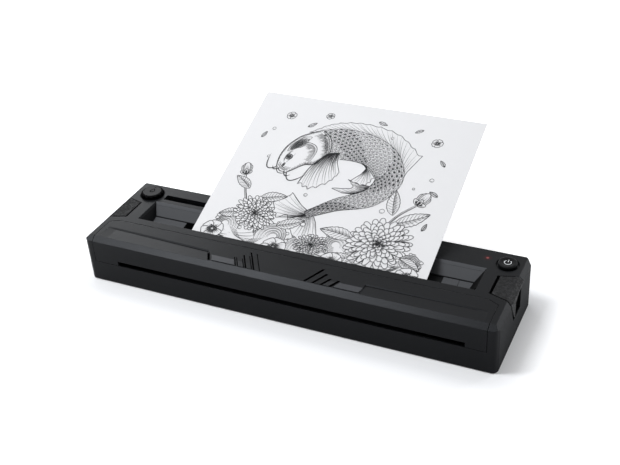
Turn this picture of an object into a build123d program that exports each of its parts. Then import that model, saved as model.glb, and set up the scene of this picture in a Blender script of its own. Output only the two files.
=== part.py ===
"""Portable thermal stencil copier: a long, low printer with a hinged front cover.

Millimetres, +Z up, +X to the right seen from the front, +Y to the rear.
The origin is the centre of the footprint, on the surface the machine stands on.
"""
import os
from math import acos, cos, hypot, pi, radians, sin, sqrt, tan

from build123d import *

# ---------------------------------------------------------------- overall form
body_width = 360.0
body_depth = 94.0
body_height = 43.0            # top deck above the table
foot_proud = 0.8              # how far the rubber feet lift the body
wall = 2.2                    # moulded wall of the housing
corner_round = 5.0            # front upright corners
corner_cut = 4.5              # rear upright corners
front_bevel_depth = 5.2       # long bevel along the front edge of the top
front_bevel_drop = 3.3
end_bevel_width = 3.5         # bevels along both ends of the top
end_bevel_drop = 3.5
split_gap = 0.4               # parting line between the cover and the housing

half_width = body_width / 2
front_y = -body_depth / 2
rear_y = body_depth / 2
deck_z = body_height
body_base_z = foot_proud

# ---------------------------------------------------------------- front cover
cover_end_margin = 8.5        # body end to the side of the cover
cover_depth = 31.8            # front face to the cover's rear edge
cover_corner_x = 8.5          # slanted rear corners of the cover
cover_corner_y = 4.3
cover_skin = 2.2
sill_height = 19.4            # top of the housing's front wall
slot_width = 304.0            # exit slot in the front face
slot_centre_x = 3.2
slot_height = 4.6
cheek_thickness = 2.0         # end walls of the cover

cover_half = half_width - cover_end_margin
cover_rear_y = front_y + cover_depth
rim_front_y = cover_rear_y + split_gap
cover_front_low_z = sill_height + split_gap

# sunk bands, raised lozenges and bars, slits and grooves in the cover's top
pattern_setback = 0.5         # front ends of the pattern, behind the bevel
band_depth = 0.95             # at the riser, inner end
band_front_depth = 0.2        # at the bevel
band_outer_depth = 0.5        # at the riser, near the outer end
band_end_depth = 0.08         # at the riser, outer end
band_fade = 8.0               # run over which the outer end comes up
band_outer_margin = 4.7       # outer end to the cover's side
band_right_inner = 70.2       # inner end of the right band; the left one ends at the notch
band_riser_run = 0.15
band_lip_run = 1.5            # chamfered lip behind the riser
band_lip_drop = 0.6
crease_right = 18.0           # middle of the lip, back from the front face
crease_left_inner = 17.3
crease_left_outer = 19.9
notch_width = 2.3             # dark notch beside the left band
notch_deep = 1.6
notch_near = 61.0             # its middle at the bevel, left of the middle
notch_length = 9.5
notch_lean = 0.57             # sideways run per unit of depth
lozenge_rise = 0.7            # height of a lozenge at its front
lozenge_run = 7.4             # flush with the deck this far behind its front
slit_first = 14.8             # foot of the innermost slit, left of the middle
slit_width = 0.8
slit_wide = 1.4               # outer slits of the two inner bars
slit_deep = 1.5
slit_long = 20.8
slit_short = 10.7
slit_lean = 0.62
groove_first = 23.9           # foot of the innermost groove, right of the middle
groove_width = 2.3
groove_deep = 1.5
groove_long = 19.5
groove_short = 9.5
groove_lean = 0.43
pattern_pitch = 7.2           # bars and grooves along the bevel
pattern_step = 5.0            # each further slit or groove is shorter by this
bar_width = 5.2               # between the two slits of a bar on the left
bar_count = 3
bar_run = 7.0                 # raised part of a bar, front to back
bar_rise = 0.5                # outermost bar at its front
bar_rise_step = 0.16          # each bar nearer the middle is lower by this
wedge_root = 0.5              # lozenges and bars reach this far into the skin

# ---------------------------------------------------------------- hinge
hinge_behind = 4.7            # axis behind the cover's rear edge
hinge_drop = 5.2              # axis below the deck
hinge_from_end = 24.0         # body end to the middle of the hinge arm
hinge_pin_radius = 1.2
hinge_clearance = 0.05
hinge_arm_width = 4.0
hinge_arm_thickness = 2.4
hinge_eye_radius = 2.7
hinge_boss = 2.4              # thickness of the bosses beside each arm
hinge_side_gap = 0.3
hinge_boss_half = 3.0          # half the bosses' depth, front to back

hinge_y = cover_rear_y + hinge_behind
hinge_z = deck_z - hinge_drop
hinge_x = half_width - hinge_from_end

# ---------------------------------------------------------------- feed well
well_from_end = 29.5          # body end to the end of the well
rim_depth = 7.5               # fixed strip between the cover and the well
rear_deck_depth = 24.5         # well's rear edge to the body's rear
well_slope_run = 9.5          # rear slope, front to back
well_slope_drop = 9.3
well_end_draft = 4.5          # inward run of the end walls over the same drop
well_floor_angle = 10.0       # fall of the well's floor towards the front
well_wall = 2.0
tray_flange = 2.6              # lip of the feed tray under the deck
tray_flange_thickness = 1.6
panel_seam_x = 132.0           # upright seam in the right lower panel
panel_seam_width = 0.4
bend_seam_width = 0.5          # line where the rear slope meets the floor
bend_seam_deep = 0.6

well_half = half_width - well_from_end
well_front_y = rim_front_y + rim_depth
well_rear_y = rear_y - rear_deck_depth
well_seam_y = well_rear_y - well_slope_run
well_seam_z = deck_z - well_slope_drop

# ---------------------------------------------------------------- sheet and its path
sheet_width = 210.0
sheet_centre_x = 5.5
sheet_thickness = 0.25
sheet_angle = 20.3            # slope of the sheet above level
sheet_below_deck = 5.0        # where it crosses the rim, below the deck
sheet_out = 170.0             # length standing out of the rim
sheet_in = 12.0               # length inside the rim
sheet_clearance = 0.05        # gap between the sheet and the ribs it lies on
inlet_width = 222.0
inlet_centre_x = 8.0
rib_count = 8                  # ribs of the inlet and exit guides
rib_margin = 10.0              # outer ribs, in from the sheet's edges
rib_half = 0.8
rib_short = 9.0                # inlet ribs end short of the well's seam
tab_depth = 6.0                # tabs that hold the inlet guide
tab_reach = 4.4
tab_drop = 3.0

sheet_base_z = deck_z - sheet_below_deck
lean = radians(sheet_angle)

# ---------------------------------------------------------------- rear slot in the deck
rear_slot_from_end = 34.0
rear_slot_length = 246.0
rear_slot_width = 7.2
rear_slot_from_rear = 12.5    # body rear to the slot's rear edge
rear_slot_deep = 11.0
trough_wall = 1.6
trough_flange = 1.2            # lip of the rear channel under the deck

# ---------------------------------------------------------------- cover lock pads
pad_inner = 17.0              # body end to the inner edge of the pad
pad_front_outer = 34.0        # front face to the pad's outer front corner
pad_skew_front = 5.6          # the front edge slants back towards the middle
pad_from_rear = 26.5          # pad's outer rear corner to the rear face
pad_skew_rear = 4.6
pad_outer_length = body_depth - pad_front_outer - pad_from_rear
pad_thickness = 2.6
pad_front_seam = 1.2          # gaps that let the skewed pad slide inwards
pad_rear_seam = 0.7
right_travel = 1.9            # inward travel of each pad
left_travel = 1.0
travel_margin = 0.5           # left of the groove beside the pad when it is pressed home
runner_clearance = 0.08        # pad's runners above the pocket's floor
runner_inset = 9.0
pocket_drop = 7.0             # floor of the pad's pocket below the deck
pocket_wall = 1.8
corner_wall_thickness = 1.6
flange_depth = 3.4            # thickness of the pad's side flange
flange_drop = 22.0            # how far the flange reaches down the end face
flange_tip_back = 10.5        # tip, back from the pad's outer front corner
flange_tip_width = 2.0
flange_waist_back = 13.0      # its rear edge turns back here
flange_waist_drop = 10.0
flange_top_back = 20.5        # its rear edge meets the pad's skirt here
skirt_drop = 5.1              # lower edge of the pad's skirt
skirt_seam = 0.3
cavity_depth = 6.5            # finger cavity in the end face
cavity_drop = 23.5
cavity_rear = 60.9            # front face to the cavity's rear wall
lock_bar_thickness = 2.0
lock_bar_height = 3.0
lock_bar_from_end = 13.8      # body end to the middle of the bar
lock_bar_drop = 14.0          # top of the bar below the deck
catch_back = 15.0             # catch pin, back from the front face
catch_radius = 1.2
catch_lug_width = 2.4
catch_gap = 0.35              # catch pin's end to the hook, and pin to the hook's riser
hook_riser = 3.2

# ---------------------------------------------------------------- dial and power button
dial_from_end = 19.8
dial_from_rear = 15.0
dial_radius = 10.0
dial_top_radius = 7.9
dial_height = 2.85
dial_shoulder = 0.8            # top of the fluted skirt, below the disc
dial_gap = 0.35               # under the dial
dial_flutes = 14
dial_flute_radius = 1.25
dial_stem_radius = 3.0
dial_mark_half = 0.5           # pointer pressed into the disc
dial_mark_length = 2.4
dial_mark_deep = 0.4
button_from_end = 16.0
button_from_rear = 14.3
button_radius = 7.6
button_ring_radius = 9.3
button_ring_deep = 1.6
button_proud = 2.4
button_travel = 1.0
button_stem_radius = 2.4
led_from_end = 33.0
led_from_rear = 10.8
led_radius = 1.1
shaft_clearance = 0.05

# ---------------------------------------------------------------- print mechanism
platen_radius = 8.0
platen_shaft_radius = 3.0
nip_run = -20.0               # nip, measured along the sheet from the rim
platen_overhang = 2.0         # rubber wider than the sheet at each side
nip_gap = 0.3
ear_thickness = 2.0
ear_gap = 4.0                 # rubber end to the side ear
gear_module = 0.7
gear_face = 6.0
gear_gap = 1.0                # ear to gear
gear_backlash = 0.10
pressure_angle = 20.0
platen_teeth = 30
idler_teeth = 24
pinion_teeth = 12
idler_angle = -16.0           # direction from the platen to the idler
pinion_angle = -10.0          # direction from the idler to the pinion
motor_radius = 10.8
motor_length = 15.0
motor_shaft_radius = 1.0
axle_radius = 1.5
head_width = 16.0             # heat sink, along the sheet
head_plate = 3.6
head_bar_thickness = 1.0
head_bar_width = 11.0
head_overhang = 1.0
pivot_radius = 1.2
pivot_above = 0.4             # pivot above the heat sink
head_ear_radius = 2.3
head_ear_width = 4.0
pivot_lug_width = 2.0
pivot_inset = 12.0            # pivot ears, in from the head's ends
spring_radius = 2.2
spring_wire = 0.45
frame_plate = 1.2             # inner frame under the cover's skin
frame_overhang = 8.0          # frame beyond the head's ends
frame_ahead = 17.0            # frame in front of the head's pivot
frame_behind = 2.2
spring_ahead = 9.0            # springs in front of the head's pivot
connector_from_end = 30.0
connector_length = 32.0
screw_bite = 6.0              # thread of the base screws in their bosses

# ---------------------------------------------------------------- base and electronics
plate_thickness = 2.0
plate_gap = 0.3
foot_radius = 7.0
foot_sunk = 0.8
foot_inset_x = 22.0
foot_inset_y = 14.0
boss_radius = 3.2
boss_from_rear = 6.3          # screw bosses, in from the rear and front faces
boss_from_front = 5.2
boss_from_end = 34.0
boss_from_right_rear = 46.0
screw_radius = 1.3
screw_head_radius = 2.6
screw_head_height = 1.3
small_screw_radius = 0.9
small_screw_grip = 3.4
switch_post_radius = 2.0
cell_radius = 9.1
cell_length = 65.0
cell_gap = 1.0
cell_from_board = 14.5         # right-hand end of the cells to the board
cradle_wall = 1.6
board_thickness = 1.6
board_depth = 50.4
board_edge_gap = 2.4           # board to the rear wall
board_left = 30.0              # board's edges, either side of the socket
board_right = 42.0
board_post_height = 3.0
board_post_radius = 2.4
board_post_inset = 4.0
board_post_rear_inset = 12.0
board_pitch = 10.0             # grid that the larger parts stand on
processor_width = 12.0
chip_height = 1.3
driver_length = 8.0
driver_width = 6.0
inductor_width = 7.0
inductor_height = 4.0
header_length = 20.0
header_width = 4.0
header_height = 5.0
capacitor_radius = 3.0
capacitor_height = 7.5
usb_width = 9.0
usb_height = 3.2
usb_depth = 7.4
usb_recess = 0.9               # socket's mouth behind the rear face
usb_from_end = 60.0            # body end to the middle of the socket


# ================================================================ helpers
def box(x0, x1, y0, y1, z0, z1):
    """Block between two corners."""
    centre = ((x0 + x1) / 2, (y0 + y1) / 2, (z0 + z1) / 2)
    return Pos(*centre) * Box(abs(x1 - x0), abs(y1 - y0), abs(z1 - z0))


def prism_x(points, x0, x1):
    """Outline in (y, z) carried along X."""
    outline = [(x0, y, z) for y, z in points]
    return extrude(make_face(Polyline(*outline, close=True)), amount=x1 - x0, dir=(1, 0, 0))


def prism_y(points, y0, y1):
    """Outline in (x, z) carried along Y."""
    outline = [(x, y0, z) for x, z in points]
    return extrude(make_face(Polyline(*outline, close=True)), amount=y1 - y0, dir=(0, 1, 0))


def prism_z(points, z0, z1):
    """Outline in (x, y) carried along Z."""
    outline = [(x, y, z0) for x, y in points]
    return extrude(make_face(Polyline(*outline, close=True)), amount=z1 - z0, dir=(0, 0, 1))


def rod_x(radius, x0, x1, y, z):
    """Cylinder along X."""
    return Pos((x0 + x1) / 2, y, z) * Rot(0, 90, 0) * Cylinder(radius, abs(x1 - x0))


def cone_x(radius0, radius1, x0, x1, y, z):
    cone = Cone(radius0, radius1, x1 - x0, align=(Align.CENTER, Align.CENTER, Align.MIN))
    return Pos(x0, y, z) * Rot(0, 90, 0) * cone


def rod_z(radius, z0, z1, x, y):
    """Cylinder along Z."""
    return Pos(x, y, (z0 + z1) / 2) * Cylinder(radius, abs(z1 - z0))


def other_side(shape):
    """The same piece at the left-hand end."""
    return mirror(shape, about=Plane.YZ)


def along_sheet(run, rise=0.0):
    """Point (y, z) at a run along the sheet from the rim and a rise square to it."""
    y = well_front_y + run * cos(lean) - rise * sin(lean)
    z = sheet_base_z + run * sin(lean) + rise * cos(lean)
    return y, z


# ================================================================ housing
def housing_form(inset=0.0):
    """Outer form of the body, or the same form moved inwards by a wall."""
    low = body_base_z - (10.0 if inset else 0.0)
    top = deck_z - inset
    form = box(-half_width + inset, half_width - inset, front_y + inset, rear_y - inset, low, top)
    uprights = form.edges().filter_by(Axis.Z).group_by(Axis.Y)
    form = fillet(uprights[0], corner_round - inset)
    uprights = form.edges().filter_by(Axis.Z).sort_by(Axis.Y)
    form = chamfer(uprights[-2:], corner_cut - inset * 0.6)
    reach = 20.0
    slope = front_bevel_drop / front_bevel_depth
    y_low = front_y + inset
    z_low = deck_z - front_bevel_drop - inset * (sqrt(1 + slope * slope) - slope)
    wedge = [
        (y_low - reach, z_low - reach * slope),
        (y_low + reach, z_low + reach * slope),
        (y_low - reach, z_low + reach * slope),
    ]
    form -= prism_x(wedge, -half_width - 1, half_width + 1)
    slope = end_bevel_drop / end_bevel_width
    x_low = half_width - inset
    z_low = deck_z - end_bevel_drop - inset * (sqrt(1 + slope * slope) - slope)
    wedge = [
        (x_low + reach, z_low - reach * slope),
        (x_low - reach, z_low + reach * slope),
        (x_low + reach, z_low + reach * slope),
    ]
    cut = prism_y(wedge, front_y - 1, rear_y + 1)
    return form - cut - other_side(cut)


def well_form(grow=0.0):
    """Drafted trough between the rim and the rear deck, or the same grown by a wall."""
    slope = well_slope_drop / well_slope_run
    side = sqrt(1 + slope * slope)
    fall = tan(radians(well_floor_angle))
    rise = 6.0
    seam_y = well_seam_y + grow * (side - 1) / slope
    seam_z = well_seam_z - grow
    front = well_front_y - grow
    profile = [
        (front, deck_z + rise),
        (seam_y + (deck_z + rise - seam_z) / slope, deck_z + rise),
        (seam_y, seam_z),
        (front, seam_z - (seam_y - front) * fall),
    ]
    draft = well_end_draft / well_slope_drop
    end_grow = grow * sqrt(1 + draft * draft)
    low = deck_z - 2 * well_slope_drop
    half_top = well_half + end_grow + draft * rise
    half_low = well_half + end_grow - draft * (deck_z - low)
    ends = [(-half_top, deck_z + rise), (half_top, deck_z + rise), (half_low, low), (-half_low, low)]
    return prism_x(profile, -half_top - 1, half_top + 1) & prism_y(ends, front_y, rear_y)


def cover_plan(grow=0.0):
    """Plan outline of the cover, or the opening it lies in."""
    side = cover_half + grow
    rear = cover_rear_y + grow
    slant_x = side - cover_corner_x
    slant_y = rear - cover_corner_y
    front = front_y - 5.0
    right = [(side, front), (side, slant_y), (slant_x, rear)]
    return right + [(-x, y) for x, y in reversed(right)]


def pocket_plan(travel, grow=0.0):
    """Plan outline of the pocket that a lock pad slides in, at the right end."""
    run = pad_inner + travel + travel_margin
    inner = half_width - run - grow
    outer = half_width + 5.0
    front_outer = front_y + pad_front_outer - pad_front_seam - grow
    rear_outer = front_y + pad_front_outer + pad_outer_length + pad_rear_seam + grow
    front_rate = pad_skew_front / pad_inner
    rear_rate = pad_skew_rear / pad_inner
    return [
        (inner, front_outer + front_rate * run),
        (outer, front_outer - front_rate * 5.0),
        (outer, rear_outer + rear_rate * 5.0),
        (inner, rear_outer - rear_rate * run),
    ]


def cavity_outline(grow=0.0):
    """Opening in the end face: the flange's slot and the finger cavity behind it."""
    front = front_y + pad_front_outer - pad_front_seam
    rear = front_y + cavity_rear
    low = deck_z - cavity_drop
    tip = front + flange_tip_back - 1.5
    top = deck_z - end_bevel_drop - 0.6
    return [
        (front - grow, deck_z),
        (front - grow, top),
        (tip - grow, low - grow),
        (rear + grow, low - grow),
        (rear + grow, deck_z),
    ]


def lock_pocket(travel, grow=0.0):
    """Hollow for the pad and its flange at the right end."""
    plan = pocket_plan(travel, grow)
    inside = box(0.0, half_width - wall, front_y, rear_y, deck_z - pocket_drop - grow, deck_z + 5.0)
    through = box(0.0, half_width + 5.0, front_y, rear_y, deck_z - skirt_drop - skirt_seam, deck_z + 5.0)
    face = prism_x(cavity_outline(grow), half_width - cavity_depth - grow, half_width + 5.0)
    return prism_z(plan, body_base_z, deck_z + 5.0) & (inside + through + face)


def hinge_bosses(grow=0.0):
    """Bosses either side of each hinge arm, or the same grown by a clearance."""
    low = hinge_z - hinge_eye_radius - 1.0
    top = deck_z - wall
    half_arm = hinge_arm_width / 2 + hinge_side_gap
    half_boss = hinge_boss_half + grow
    pieces = None
    for start in (hinge_x - half_arm - hinge_boss, hinge_x + half_arm):
        block = box(start - grow, start + hinge_boss + grow, hinge_y - half_boss, hinge_y + half_boss,
                    low - grow, top + 0.5)
        pieces = block if pieces is None else pieces + block
    return pieces + other_side(pieces)


def base_screw_places():
    """Screws that hold the bottom plate: three behind and three in front."""
    rear = rear_y - boss_from_rear
    front = front_y + boss_from_front
    return [
        (-half_width + boss_from_end, rear),
        (0.0, rear),
        (half_width - boss_from_right_rear, rear),
        (-half_width + boss_from_end, front),
        (0.0, front),
        (half_width - boss_from_end, front),
    ]


def make_main_casing():
    """Housing shell with its deck, well, pockets, bosses and lock guides."""
    form = housing_form()
    shell = form - housing_form(wall)
    plate_top = body_base_z + plate_thickness

    # closed inner walls of the front corners, beside the cover
    tower = corner_wall() & form
    shell += tower + other_side(tower)

    shell += hinge_bosses()

    # screw bosses, from the deck at the rear and on the front wall
    for x, y in base_screw_places():
        top = deck_z - wall + 0.5 if y > 0 else sill_height - 3.4
        shell += rod_z(boss_radius, plate_top, top, x, y)

    # thicker deck under the power button's ring, and posts for the switch board
    button_x, button_y = button_place()
    shell += button_boss() & form
    for x, y in switch_posts():
        shell += rod_z(switch_post_radius, switch_board_z(), deck_z - wall + 0.5, x, y)

    # guide for each lock bar, on the corner's inner wall
    shell += lock_guide(right_travel) + other_side(lock_guide(left_travel))

    # everything that is cut away
    shell -= prism_z(cover_plan(split_gap), sill_height, deck_z + 5.0)
    shell -= well_form()
    shell -= rear_slot_form(0.0)
    shell -= lock_pocket(right_travel) + other_side(lock_pocket(left_travel))
    pin = rod_x(hinge_pin_radius, hinge_pin_ends()[0], hinge_pin_ends()[1], hinge_y, hinge_z)
    shell -= pin + other_side(pin)
    shell -= lock_bar_passage(right_travel) + other_side(lock_bar_passage(left_travel))
    for x, y in base_screw_places():
        shell -= rod_z(screw_radius, plate_top - 1.0, plate_top + 8.0, x, y)
    for x, y in switch_posts():
        shell -= rod_z(small_screw_radius, switch_board_z() - 1.0, switch_board_z() + 4.5, x, y)

    # dial, power button, lamp and socket
    dial_x, dial_y = dial_place()
    shell -= rod_z(dial_stem_radius + 0.4, deck_z - 10.0, deck_z + 1.0, dial_x, dial_y)
    shell -= rod_z(button_ring_radius, deck_z - button_ring_deep, deck_z + 1.0, button_x, button_y)
    shell -= rod_z(button_stem_radius + 0.4, deck_z - 10.0, deck_z + 1.0, button_x, button_y)
    led_x, led_y = led_place()
    shell -= rod_z(led_radius, deck_z - 10.0, deck_z + 1.0, led_x, led_y)
    shell -= usb_opening()
    return shell


def button_boss():
    """Thicker deck under the power button's ring."""
    x, y = button_place()
    return rod_z(button_ring_radius + wall, deck_z - button_ring_deep - wall, deck_z - wall + 0.5, x, y)


def corner_wall():
    """Upright wall between the right front corner and the cover's cheek."""
    x = cover_half + split_gap
    return box(x, x + corner_wall_thickness, front_y, cover_rear_y + 2.0,
               body_base_z + plate_thickness, deck_z + 2.0)


def make_feed_tray():
    """Drafted trough under the deck: rear slope, end walls and the floor beside the inlet."""
    under = deck_z - wall
    below = box(-half_width, half_width, front_y, rear_y, body_base_z, under)
    tray = well_form(well_wall) & below
    lip_rear = rear_y - rear_slot_from_rear - rear_slot_width - trough_wall - trough_flange - split_gap
    lip = well_form(well_wall + tray_flange) & box(-half_width, half_width, well_front_y, lip_rear,
                                                   under - tray_flange_thickness, under)
    tray += lip
    tray -= well_form()
    tray -= inlet_cut()
    tray -= hinge_bosses(hinge_side_gap)
    tray -= bend_seams()
    front = well_front_y - 1.0
    groove_z = well_seam_z + 1.0
    half = panel_seam_width / 2
    floor_line = prism_x(
        [(front, well_floor_z(front) - panel_seam_width), (well_seam_y, well_seam_z - panel_seam_width),
         (well_seam_y, groove_z), (front, groove_z)],
        panel_seam_x - half, panel_seam_x + half,
    )
    return tray - floor_line


def bend_seams():
    """Fine lines at the foot of the rear slope, either side of the inlet."""
    half = well_half - well_end_draft
    seams = None
    for left, right in ((-half, inlet_centre_x - inlet_width / 2), (inlet_centre_x + inlet_width / 2, half)):
        seam = box(left, right, well_seam_y - bend_seam_width / 2, well_seam_y + bend_seam_width / 2,
                   well_seam_z - bend_seam_deep, well_seam_z + bend_seam_width)
        seams = seam if seams is None else seams + seam
    return seams


def well_floor_z(y):
    """Height of the well's floor."""
    return well_seam_z - (well_seam_y - y) * tan(radians(well_floor_angle))


def make_rear_channel():
    """Closed channel under the rear slot, with a lip under the deck."""
    under = deck_z - wall
    below = box(-half_width, half_width, front_y, rear_y, body_base_z, under)
    channel = rear_slot_form(trough_wall) & below
    lip = rear_slot_form(trough_wall + trough_flange) & box(-half_width, half_width, front_y, rear_y,
                                                           under - trough_wall, under)
    return channel + lip - rear_slot_form(0.0)


def make_lock_housing(travel):
    """Liner of a lock's pocket and finger cavity, inside the casing at the right end."""
    liner = lock_pocket(travel, pocket_wall) & housing_form(wall)
    liner -= lock_pocket(travel)
    liner -= stem_slot(travel)
    return liner - corner_wall() - hinge_bosses() - button_boss()


def rear_slot_form(grow):
    """Long narrow slot in the rear deck, with a closed trough below it."""
    left = -half_width + rear_slot_from_end
    rear = rear_y - rear_slot_from_rear
    low = deck_z - rear_slot_deep
    top = deck_z + (1.0 if grow == 0 else 0.0)
    return box(left - grow, left + rear_slot_length + grow,
               rear - rear_slot_width - grow, rear + grow, low - grow, top)


def inlet_cut():
    """Mouth of the paper path: the well's floor and front wall, open below the rim."""
    left = inlet_centre_x - inlet_width / 2
    right = inlet_centre_x + inlet_width / 2
    mouth = box(left, right, rim_front_y - 1.0, well_seam_y, sill_height, deck_z - wall)
    return mouth


def usb_opening():
    """Socket opening in the rear wall."""
    z = board_top_z() + usb_height / 2
    opening = box(
        usb_place() - usb_width / 2 - 0.3, usb_place() + usb_width / 2 + 0.3,
        rear_y - wall - 1.0, rear_y + 1.0,
        z - usb_height / 2 - 0.3, z + usb_height / 2 + 0.3,
    )
    return opening


def hinge_pin_ends():
    """Ends in X of the right hinge pin."""
    reach = hinge_arm_width / 2 + hinge_side_gap + hinge_boss - 0.4
    return hinge_x - reach, hinge_x + reach


# ---------------------------------------------------------------- places shared by several pieces
def dial_place():
    return -half_width + dial_from_end, rear_y - dial_from_rear


def button_place():
    return half_width - button_from_end, rear_y - button_from_rear


def led_place():
    return half_width - led_from_end, rear_y - led_from_rear


def board_top_z():
    return body_base_z + plate_thickness + board_post_height + board_thickness


def lock_bar_x():
    return half_width - lock_bar_from_end


def lock_bar_z():
    """Bottom and top of the lock bar."""
    top = deck_z - lock_bar_drop
    return top - lock_bar_height, top


def catch_place():
    """Catch pin (y, z)."""
    return front_y + catch_back, lock_bar_z()[1] + 1.0 + catch_radius


def platen_place():
    """Axis (y, z) of the platen."""
    return along_sheet(nip_run, -(platen_radius + nip_gap / 2))


def gear_distance(teeth_a, teeth_b):
    """Working centre distance of two gears."""
    return gear_module * (teeth_a + teeth_b) / 2 + gear_backlash / 2


def idler_place():
    y, z = platen_place()
    reach = gear_distance(platen_teeth, idler_teeth)
    return y + reach * cos(radians(idler_angle)), z + reach * sin(radians(idler_angle))


def pinion_place():
    y, z = idler_place()
    reach = gear_distance(idler_teeth, pinion_teeth)
    return y + reach * cos(radians(pinion_angle)), z + reach * sin(radians(pinion_angle))


def rubber_ends():
    """Ends in X of the platen's rubber."""
    half = sheet_width / 2 + platen_overhang
    return sheet_centre_x - half, sheet_centre_x + half


def left_ear_x():
    """Outer face of the left ear; the gears run beyond it."""
    return rubber_ends()[0] - ear_gap - ear_thickness


def right_ear_x():
    """Outer face of the right ear."""
    return rubber_ends()[1] + ear_gap + ear_thickness


# ================================================================ cover locks
def lock_guide(travel):
    """Rib with an eye for the lock bar, at the right end."""
    low, top = lock_bar_z()
    left = lock_bar_x() - lock_bar_thickness / 2 - travel - 1.6
    rear = cover_rear_y + 1.6
    return box(left, cover_half + split_gap + 1.0, rear - 3.0, rear, low - 1.8, top + 1.8)


def lock_bar_passage(travel):
    """Clearance round the lock bar through its guide, wide enough for its travel."""
    low, top = lock_bar_z()
    x = lock_bar_x()
    half = lock_bar_thickness / 2 + 0.15
    rear = cover_rear_y + 1.6
    return box(x - half - travel, x + half, rear - 4.0, rear + 1.0, low - 0.15, top + 0.15)


def stem_box(grow=0.0, travel=0.0):
    """Stem that carries the lock bar under the pad's pocket."""
    x = lock_bar_x()
    middle = front_y + pad_front_outer + pad_outer_length / 2
    half = lock_bar_thickness / 2 + 1.6
    low = lock_bar_z()[0]
    return box(
        x - half - grow - travel, x + half + grow,
        middle - 4.0 - grow, middle + 4.0 + grow,
        low, deck_z - pad_thickness,
    )


def stem_slot(travel):
    """Slot in the pocket's floor that the stem slides along."""
    below = box(0, half_width, front_y, rear_y, deck_z - pocket_drop - 3.0, deck_z)
    return stem_box(0.3, travel) & below


def pad_plan():
    inner = half_width - pad_inner
    outer = half_width + 5.0
    front_outer = front_y + pad_front_outer
    rear_outer = front_outer + pad_outer_length
    front_rate = pad_skew_front / pad_inner
    rear_rate = pad_skew_rear / pad_inner
    return [
        (inner, front_outer + pad_skew_front),
        (outer, front_outer - front_rate * 5.0),
        (outer, rear_outer + rear_rate * 5.0),
        (inner, rear_outer - pad_skew_rear),
    ]


def make_lock_pad():
    """Textured pad of the right lock: top plate, side flange, runners and stem."""
    form = housing_form()
    pad = prism_z(pad_plan(), deck_z - pad_thickness, deck_z + 1.0)
    front = front_y + pad_front_outer
    rear = front + pad_outer_length
    bevel_low = deck_z - end_bevel_drop - 0.6
    skirt_low = deck_z - skirt_drop
    flange = prism_x(
        [
            (front, deck_z),
            (front, bevel_low),
            (front + flange_tip_back, deck_z - flange_drop),
            (front + flange_tip_back + flange_tip_width, deck_z - flange_drop),
            (front + flange_waist_back, deck_z - flange_waist_drop),
            (front + flange_top_back, skirt_low),
            (rear, skirt_low),
            (rear, deck_z),
        ],
        half_width - flange_depth,
        half_width + 1.0,
    )
    flange = flange & prism_z(pad_plan(), body_base_z, deck_z + 1.0)
    pad = (pad + flange) & form
    # two runners that bear on the pocket's floor
    inner = half_width - pad_inner
    for y in (front + runner_inset, rear - runner_inset):
        pad += box(inner + 1.5, half_width - cavity_depth, y - 1.0, y + 1.0,
                   deck_z - pocket_drop + runner_clearance, deck_z - pad_thickness)
    stem = stem_box()
    low, top = lock_bar_z()
    bar_gap = box(lock_bar_x() - lock_bar_thickness / 2, lock_bar_x() + lock_bar_thickness / 2,
                  front_y, rear_y, low - 1.0, top)
    return pad + (stem - bar_gap)


def make_lock_hook():
    """Flat steel bar with a hook whose nose reaches back over the catch pin's height."""
    low, top = lock_bar_z()
    x = lock_bar_x()
    catch_y, catch_z = catch_place()
    riser_rear = catch_y - catch_radius - 2 * catch_gap
    riser_front = riser_rear - hook_riser
    nose_tip = catch_y + catch_radius + 2 * catch_gap
    nose_low = catch_z + catch_radius + catch_gap
    nose_top = nose_low + 2.4
    rear = front_y + pad_front_outer + pad_outer_length / 2 + 4.0
    outline = [
        (rear, low),
        (rear, top),
        (riser_rear, top),
        (riser_rear, nose_low),
        (nose_tip, nose_low),
        (nose_tip, nose_low + 1.0),
        (nose_tip - 1.4, nose_top),
        (riser_front, nose_top),
        (riser_front, low + 1.0),
        (riser_front + 1.0, low),
    ]
    return prism_x(outline, x - lock_bar_thickness / 2, x + lock_bar_thickness / 2)


# ================================================================ front cover
def pattern_front():
    """Front ends of the raised and sunk pattern on the top."""
    return front_y + front_bevel_depth + pattern_setback


def band_section(x, crease, depth):
    """Section of a band at x: a shallow floor, a steep riser and a chamfered lip behind it."""
    share = depth / band_depth
    near = front_y + front_bevel_depth - 1.0
    riser = crease - band_lip_run / 2
    foot = riser - band_riser_run
    floor_rise = (depth - band_front_depth * share) / (foot - front_y - front_bevel_depth)
    lip_drop = band_lip_drop * share
    points = [
        (x, near, deck_z - band_front_depth * share + floor_rise),
        (x, foot, deck_z - depth),
        (x, riser, deck_z - lip_drop),
        (x, riser + 2 * band_lip_run, deck_z + lip_drop),
        (x, riser + 2 * band_lip_run, deck_z + 1.0),
        (x, near, deck_z + 1.0),
    ]
    return make_face(Polyline(*points, close=True))


def band(inner, outer, crease_inner, crease_outer):
    """Lowered band that fades out towards the end of the cover."""
    fade = outer - band_fade * (1 if outer > 0 else -1)
    share = (fade - inner) / (outer - inner)
    crease_fade = crease_inner + (crease_outer - crease_inner) * share
    sections = [
        band_section(inner, front_y + crease_inner, band_depth),
        band_section(fade, front_y + crease_fade, band_outer_depth),
        band_section(outer, front_y + crease_outer, band_end_depth),
    ]
    return loft(sections, ruled=True)


def notch_middle(y):
    """Middle of the notch in X, on the line that also ends the left band."""
    return -notch_near - (y - pattern_front()) * notch_lean


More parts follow.
